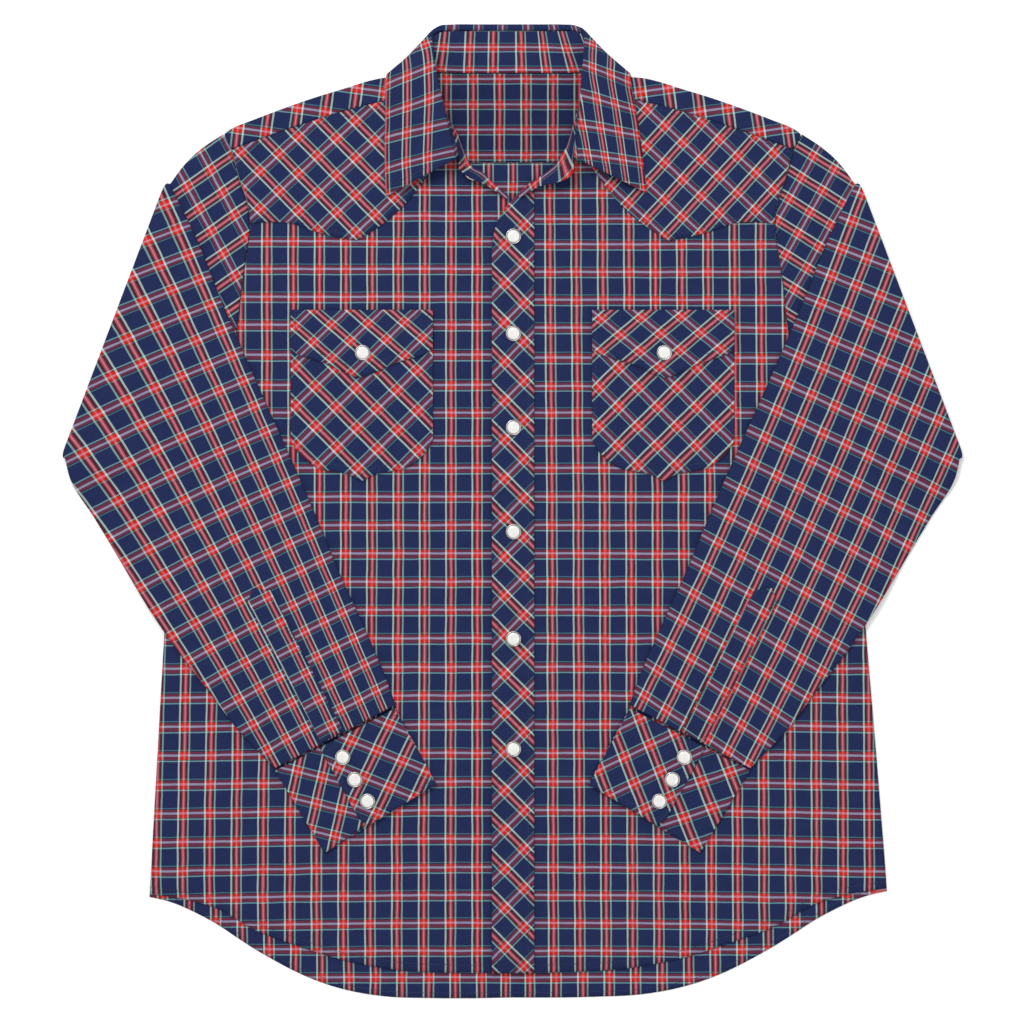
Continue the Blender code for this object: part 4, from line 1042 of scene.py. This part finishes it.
def make_cuff(side, word):
    """One band wound round the wrist: hidden lap, outer fold, lower layer, inner fold, visible lap."""
    sections = []
    for row, after in zip(CUFF_BAND, CUFF_BAND[1:] + (None,)):
        x0, y0, x1, y1, z = row
        high, low = np.array([x0, y0]), np.array([x1, y1])
        sections.append((high, low, z))
        if after and (x0, y0) == after[:2]:
            radius = (after[4] - z) / 2
            way = np.array([(low - high)[1], -(low - high)[0]])
            way = way / np.linalg.norm(way)
            away = way if way[0] * (x0 - 150) > 0 else -way
            for lean in np.radians(np.linspace(-72, 72, 7)):
                off = away * abs(radius) * math.cos(lean)
                sections.append((high + off, low + off, z + radius + radius * math.sin(lean)))
    rows = []
    for (h0, l0, z0), (h1, l1, z1) in zip(sections, sections[1:]):
        span = max(np.linalg.norm(h1 - h0), np.linalg.norm(l1 - l0))
        count = max(1, round(span / 2.6))
        for i in range(count):
            t = i / count
            rows.append((h0 + (h1 - h0) * t, l0 + (l1 - l0) * t, z0 + (z1 - z0) * t))
    rows.append(sections[-1])
    high = np.array([r[0] for r in rows])
    low = np.array([r[1] for r in rows])
    level = np.array([r[2] for r in rows])
    down = np.linspace(0, 1, 31)[None, :, None]
    plan = high[:, None] * (1 - down) + low[:, None] * down
    rims = [plan[:, -1], plan[:, 0], np.array([plan[-1, 0], plan[-1, -1]])]
    pull = stitched(plan, rims, 4.6, 0.2, 1.2)
    z = level[:, None] + np.where(level[:, None] > 7.0, pull, 0.0)
    upper = charted(CUFF_CROSSINGS[side])(plan[..., 0], plan[..., 1])
    under = charted(CUFF_UNDER_CROSSINGS[side])(plan[..., 0], plan[..., 1])
    faces_over = np.zeros((len(rows) - 1, 30), bool)
    faces_over[(level[:-1] > 7.9) | (level[:-1] < 6.3)] = True
    points = np.dstack([plan[..., 0] * side, plan[..., 1], z])
    made = shell(f"cuff_{word}_cloth", points, under, WALL_STIFF, flip=side < 0,
                 side_counts=(faces_over, upper))
    shown = points[level > 8.6]
    sew(f"cuff_{word}_stitches", [shown[:, 2], shown[:, -3], shown[-3, 2:-2]], WALL_STIFF)
    return keep(made, [f"cuff_{word}"])


# --- collar ---------------------------------------------------------------------------------------

LEAF_ANCHORS = (  # x, y on the roll line, repeats counted round the neck
    (-49.5, 303.5, -3.33), (-57.5, 336.5, -2.0), (-60.0, 360.6, -1.0), (-66.8, 385.5, 0.0),
    (-70.3, 412.0, 1.2), (-51.6, 424.0, 2.0), (-9.0, 424.0, 4.0), (35.4, 424.0, 6.0),
    (54.7, 423.0, 7.0), (61.3, 386.7, 9.0), (59.3, 359.7, 10.0), (58.0, 332.7, 11.0),
    (57.0, 303.0, 12.2),
)
LEAF_EDGE_ANCHORS = (
    (-110.0, 273.5, -4.07), (-111.0, 299.4, -3.0), (-111.0, 323.6, -2.0), (-110.3, 346.1, -1.0),
    (-110.0, 371.0, 0.0), (-104.5, 379.2, 0.6), (-34.0, 372.0, 3.0), (32.0, 372.0, 6.0),
    (97.5, 379.6, 8.5), (103.2, 371.9, 9.0), (107.5, 347.8, 10.0), (110.5, 325.2, 11.0),
    (113.8, 302.7, 12.0), (116.7, 276.5, 13.1),
)
STAND_ANCHORS = (
    (-84.5, 377.0, 1.0), (-62.1, 382.4, 2.0), (-39.2, 382.0, 3.0), (-16.5, 381.9, 4.0),
    (7.1, 381.9, 5.0), (31.0, 381.9, 6.0), (54.4, 382.1, 7.0), (76.0, 383.2, 8.0),
    (-3.5, 274.4, -3.6), (4.0, 274.8, 12.6),
)


def counts_along(line, anchors):
    """Repeats at each point of a line, from the anchors nearest to it."""
    run = np.concatenate([[0.0], np.cumsum(np.linalg.norm(np.diff(line[:, :3], axis=0), axis=1))])
    at = []
    for x, y, count in anchors:
        k = int(np.argmin((line[:, 0] - x) ** 2 + (line[:, 1] - y) ** 2))
        at.append((run[k], count))
    at.sort()
    at = np.array(at)
    return np.interp(run, at[:, 0], at[:, 1])


def smooth_collar(rows, per=7):
    """The collar's sections, smoothed between the table's rows."""
    table = []
    for row in rows:
        edge = row[7] if row[7] else (0.0, 0.0, 0.0)
        table.append([*row[3:6], *row[0:3], row[6], *edge])
    return smooth_line(np.array(table), per)


def frames(rows):
    roll, seam, radius, edge = rows[:, 0:3], rows[:, 3:6], rows[:, 6], rows[:, 7:10]
    way = np.gradient(roll, axis=0)
    way /= np.linalg.norm(way, axis=1)[:, None]
    inward = seam - roll
    inward /= np.linalg.norm(inward, axis=1)[:, None]
    return roll, seam, radius, edge, way, inward


def make_collar():
    leafy = [i for i, row in enumerate(COLLAR) if row[7]]
    first, last = leafy[0], leafy[-1]
    per = 7
    whole = smooth_line(np.array([[*row[3:6], *row[0:3], row[6]] for row in COLLAR]), per)
    leaf = smooth_collar(COLLAR[first:last + 1], per)
    roll, seam, radius, edge, way, inward = frames(leaf)
    outward = edge - roll
    outward /= np.linalg.norm(outward, axis=1)[:, None]
    middle = inward + outward
    middle /= np.linalg.norm(middle, axis=1)[:, None]
    over = np.cross(middle, way)
    over /= np.linalg.norm(over, axis=1)[:, None]
    radius = np.maximum(radius, 0.6)[:, None]
    turned = roll + over * radius + inward * (COLLAR_TURN + radius)
    rise = roll + over * radius + middle * radius
    away = roll - over * radius + middle * radius
    tall = np.clip((roll[:, 2:3] - 5.0) / 12.0, 0.0, 1.0)
    leaf_rows, leaf_t = [], []
    for t in (0.0, 0.5, 1.0):
        leaf_rows.append(turned + (rise - turned) * t)
        leaf_t.append(-0.09 - 0.08 * (1 - t))
    for lean in np.radians(np.linspace(30, 150, 5)):
        centre = roll + middle * radius
        leaf_rows.append(centre + over * radius * math.cos(lean) - middle * radius * math.sin(lean))
        leaf_t.append(-0.024 * (math.pi - lean))
    for t in np.linspace(0, 1, 24):
        p = away + (edge - away) * t
        puff = LEAF_PUFF * math.sin(math.pi * t) * tall
        groove = -0.22 * math.exp(-(((1 - t) * 62.0 - 4.6) / 1.3) ** 2)
        p = p + np.array([0.0, 0.0, 1.0]) * (puff + groove * tall)
        leaf_rows.append(p)
        leaf_t.append(float(t))
    grid = np.stack(leaf_rows, axis=1)
    run = np.linalg.norm(edge - roll, axis=1)[:, None]
    t = np.array(leaf_t)[None, :]
    at_roll = counts_along(roll, LEAF_ANCHORS)[:, None]
    at_edge = counts_along(edge, LEAF_EDGE_ANCHORS)[:, None]
    left = soft((at_roll - 7.0) / 2.0)
    u = (run * (1 - t) - 0.5 - 2.5 * left) / (21.3 - 2.9 * left)
    u = np.where(left < 0.5, np.minimum(u, 2.62), u)  # the roll is navy on the wearer's right
    v = at_roll * (1 - np.clip(t, 0, 1)) + at_edge * np.clip(t, 0, 1)
    made = shell("collar_leaf_cloth", grid, (u, v), WALL_STIFF, flip=True)
    front = len(leaf_rows) - 24
    ends = [grid[2, front + 1:-2], grid[-3, front + 1:-2]]
    sew("collar_leaf_stitches", [ends[0], grid[2:40, -3], grid[-40:-2, -3], ends[1]], WALL_STIFF)
    keep(made, ["collar_leaf"])

    # The stand, whose upper edge ends a little under the leaf's turned end, or at the roll beyond it.
    roll, seam = whole[:, 0:3], whole[:, 3:6]
    top = roll.copy()
    lead = first * per
    inward = seam - roll
    inward /= np.linalg.norm(inward, axis=1)[:, None]
    gap = COLLAR_GAP + 0.15
    top[lead:lead + len(turned)] = turned + inward[lead:lead + len(turned)] * gap
    blend = 5
    for k in range(1, blend + 1):  # the step at each end of the leaf is eased
        share = float(soft(np.array(1 - k / (blend + 1))))
        top[lead - k] = top[lead - k] * (1 - share) + (roll[lead - k] + (top[lead] - roll[lead])) * share
        end = lead + len(turned) - 1
        top[end + k] = top[end + k] * (1 - share) + (roll[end + k] + (top[end] - roll[end])) * share
    shares = np.linspace(0, 1, 14)[None, :, None]
    grid = seam[:, None] * (1 - shares) + top[:, None] * shares
    rise = np.linalg.norm(roll - seam, axis=1)[:, None]
    v = (rise * shares[..., 0] - 3.0) / 23.2
    u = counts_along(seam, STAND_ANCHORS)[:, None] + 0 * shares[..., 0]
    made = shell("collar_stand_cloth", grid, (u, v), WALL_STIFF, flip=True)
    keep(made, ["collar_stand"])


make_back_panel()
keep(build_back_yoke(), ["back_yoke"])
build_back_yoke_inside()
make_front("front_right_cloth", "front_right", -1, NECK_RIGHT, STRIP_RIGHT, front_level, front_right_grain)
make_front("front_left_cloth", "front_left", 1, NECK_LEFT, STRIP_LEFT, left_front_level, front_left_grain)
make_placket()
for side, word, neck in ((-1, "right", NECK_RIGHT), (1, "left", NECK_LEFT)):
    make_front_yoke(side, word, neck)
    make_patch(f"pocket_{word}_cloth", f"pocket_{word}", side, POCKET_TOP, POCKET_FOOT, 1,
               POCKET_CROSSINGS, 0.35)
    make_patch(f"pocket_flap_{word}_cloth", f"pocket_flap_{word}", side, FLAP_TOP, FLAP_FOOT, 2,
               FLAP_CROSSINGS, 0.5)
    make_sleeve(side, word)
    make_sleeve_placket(side, word)
    make_cuff(side, word)
make_collar()


# --- pearl snaps ----------------------------------------------------------------------------------

def make_pearl():
    material = bpy.data.materials.new("pearl")
    material.use_nodes = True
    tree = material.node_tree
    link = tree.links.new
    shader = tree.nodes["Principled BSDF"]
    shader.inputs["Roughness"].default_value = 0.16
    shader.inputs["Coat Weight"].default_value = 0.5
    shader.inputs["Coat Roughness"].default_value = 0.06
    shader.inputs["Specular IOR Level"].default_value = 0.6
    place = add(tree, "ShaderNodeTexCoord")
    clouds = add(tree, "ShaderNodeTexNoise")
    clouds.inputs["Scale"].default_value = 420.0
    clouds.inputs["Detail"].default_value = 3.0
    clouds.inputs["Distortion"].default_value = 1.4
    link(place.outputs["Object"], clouds.inputs["Vector"])
    tint = add(tree, "ShaderNodeValToRGB")
    band = tint.color_ramp.elements
    band[0].position, band[0].color = 0.3, (0.58, 0.57, 0.54, 1.0)
    band[1].position, band[1].color = 0.72, (0.70, 0.70, 0.68, 1.0)
    link(clouds.outputs["Fac"], tint.inputs[0])
    link(tint.outputs[0], shader.inputs["Base Color"])
    bump = add(tree, "ShaderNodeBump")
    bump.inputs["Strength"].default_value = 0.12
    bump.inputs["Distance"].default_value = 0.00008
    link(clouds.outputs["Fac"], bump.inputs["Height"])
    link(bump.outputs[0], shader.inputs["Normal"])
    return material


def make_metal():
    material = bpy.data.materials.new("snap_metal")
    material.use_nodes = True
    tree = material.node_tree
    link = tree.links.new
    shader = tree.nodes["Principled BSDF"]
    shader.inputs["Metallic"].default_value = 1.0
    place = add(tree, "ShaderNodeTexCoord")
    marks = add(tree, "ShaderNodeTexNoise")
    marks.inputs["Scale"].default_value = 900.0
    marks.inputs["Detail"].default_value = 4.0
    link(place.outputs["Object"], marks.inputs["Vector"])
    dull = add(tree, "ShaderNodeMapRange")
    dull.inputs["To Min"].default_value = 0.2
    dull.inputs["To Max"].default_value = 0.38
    link(marks.outputs["Fac"], dull.inputs["Value"])
    link(dull.outputs[0], shader.inputs["Roughness"])
    tint = add(tree, "ShaderNodeValToRGB")
    band = tint.color_ramp.elements
    band[0].position, band[0].color = 0.25, (0.36, 0.35, 0.34, 1.0)
    band[1].position, band[1].color = 0.75, (0.56, 0.55, 0.53, 1.0)
    link(marks.outputs["Fac"], tint.inputs[0])
    link(tint.outputs[0], shader.inputs["Base Color"])
    return material


SNAP_SHIFT = (-0.9, -2.3, 0.0)  # of the snaps from their solids
CAP_RADIUS = 5.6


def pick_faces(made, test):
    """Selects the faces that pass a test of their middle and normal, in edit mode."""
    bpy.ops.object.mode_set(mode="OBJECT")
    for face in made.data.polygons:
        face.select = test(face.center, face.normal)
    for edge in made.data.edges:
        edge.select = False
    bpy.ops.object.mode_set(mode="EDIT")
    bpy.ops.mesh.select_mode(type="FACE")


def model_cap():
    """A domed pearl disc: a disc whose top is stepped in and up, then smoothed."""
    bpy.ops.object.select_all(action="DESELECT")
    bpy.ops.mesh.primitive_cylinder_add(vertices=32, radius=CAP_RADIUS * MM, depth=1.1 * MM,
                                        location=(0, 0, 0.55 * MM))
    made = bpy.context.object
    bpy.ops.object.transform_apply(location=True, rotation=False, scale=False)
    bpy.ops.object.mode_set(mode="EDIT")
    top = 1.1
    for inset, rise in ((0.35, 0.42), (0.7, 0.38), (1.2, 0.28), (1.4, 0.14)):
        pick_faces(made, lambda centre, normal: centre.z > (top - 0.02) * MM and normal.z > 0.9)
        bpy.ops.mesh.inset(thickness=inset * MM)
        bpy.ops.transform.translate(value=(0, 0, rise * MM))
        top += rise
    bpy.ops.object.mode_set(mode="OBJECT")
    made.modifiers.new("soft", "SUBSURF").levels = 1
    made.modifiers["soft"].render_levels = 1
    apply_all(made)
    bpy.ops.object.shade_smooth()
    return made


def model_rim():
    """The metal ring round the pearl: a tube section with a rolled lip."""
    bpy.ops.object.select_all(action="DESELECT")
    bpy.ops.mesh.primitive_torus_add(major_segments=40, minor_segments=10,
                                     major_radius=(CAP_RADIUS + 0.62) * MM, minor_radius=0.58 * MM,
                                     location=(0, 0, 0.62 * MM))
    made = bpy.context.object
    bpy.ops.object.transform_apply(location=True, rotation=False, scale=False)
    bpy.ops.object.mode_set(mode="EDIT")
    bpy.ops.mesh.select_all(action="SELECT")
    bpy.ops.transform.resize(value=(1.0, 1.0, 1.35), center_override=(0, 0, 0.0))
    bpy.ops.object.mode_set(mode="OBJECT")
    bpy.ops.object.shade_smooth()
    return made


def copy_to(model, name, matrix, node, material):
    made = model.copy()
    made.data = model.data.copy()
    made.name = made.data.name = name
    bpy.context.scene.collection.objects.link(made)
    made.data.transform(matrix)
    made.data.materials.append(material)
    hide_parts(node)
    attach(made, "root")
    return made


def snap_frames():
    """Foot and tilt of every snap, from its cap's and rim's solids."""
    for number in range(1, 16):
        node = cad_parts[f"snap_cap_{number:02d}"]
        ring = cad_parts[f"snap_rim_{number:02d}"]
        points = np.array([v.co for v in node.data.vertices])
        centre = points.mean(0)
        out = centre - np.array([v.co for v in ring.data.vertices]).mean(0)
        _, _, ways = np.linalg.svd(points - centre)
        up = Vector(ways[2] * (1.0 if ways[2] @ out > 0 else -1.0))
        along_up = (points - centre) @ np.array(up)
        low = points[along_up < along_up.min() + 0.0001]
        foot = Vector((low.min(0) + low.max(0)) / 2)
        turn = Vector((0, 0, 1)).rotation_difference(up).to_matrix().to_4x4()
        foot += Vector(SNAP_SHIFT) * MM * (number != 7)
        yield number, Matrix.Translation(foot) @ turn


pearl, metal = make_pearl(), make_metal()
cap, rim = model_cap(), model_rim()
snaps = {}
for number, matrix in snap_frames():
    snaps[number] = (
        copy_to(cap, f"snap_pearl_{number:02d}", matrix, f"snap_cap_{number:02d}", pearl),
        copy_to(rim, f"snap_ring_{number:02d}", matrix, f"snap_rim_{number:02d}", metal),
    )
bpy.data.objects.remove(cap)
bpy.data.objects.remove(rim)


# --- floor, light and camera ----------------------------------------------------------------------

def make_floor():
    bpy.ops.object.select_all(action="DESELECT")
    bpy.ops.mesh.primitive_plane_add(size=14.0, location=(0, 0, -0.0002))
    floor = bpy.context.object
    floor.name = "floor"
    material = bpy.data.materials.new("floor_white")
    material.use_nodes = True
    tree = material.node_tree
    shader = tree.nodes["Principled BSDF"]
    shader.inputs["Base Color"].default_value = (0.93, 0.93, 0.93, 1.0)
    shader.inputs["Roughness"].default_value = 0.9
    shader.inputs["Specular IOR Level"].default_value = 0.1
    floor.data.materials.append(material)


def area_light(name, place, aim, size, power):
    light = bpy.data.lights.new(name, "AREA")
    light.shape = "SQUARE"
    light.size = size
    light.energy = power
    lamp = bpy.data.objects.new(name, light)
    lamp.location = place
    lamp.rotation_euler = (Vector(aim) - Vector(place)).to_track_quat("-Z", "Y").to_euler()
    bpy.context.scene.collection.objects.link(lamp)


def make_stage():
    make_floor()
    world = bpy.data.worlds.new("studio")
    world.use_nodes = True
    world.node_tree.nodes["Background"].inputs[0].default_value = (1.0, 1.0, 1.0, 1.0)
    world.node_tree.nodes["Background"].inputs[1].default_value = 0.78
    bpy.context.scene.world = world
    area_light("key", (-0.9, 1.6, 2.6), (0, 0, 0), 1.2, 62.0)
    area_light("fill", (1.6, -0.6, 2.4), (0, 0, 0), 2.0, 16.0)
    bpy.context.scene.view_settings.view_transform = "Standard"
    camera = bpy.data.cameras.new("camera")
    camera.lens = 100.0
    camera.sensor_width = 36.0
    seen = bpy.data.objects.new("camera", camera)
    seen.location = (-0.00044, -0.00087, 0.8919 * 100.0 / 36.0 + 0.004)
    bpy.context.scene.collection.objects.link(seen)
    bpy.context.scene.camera = seen


make_stage()
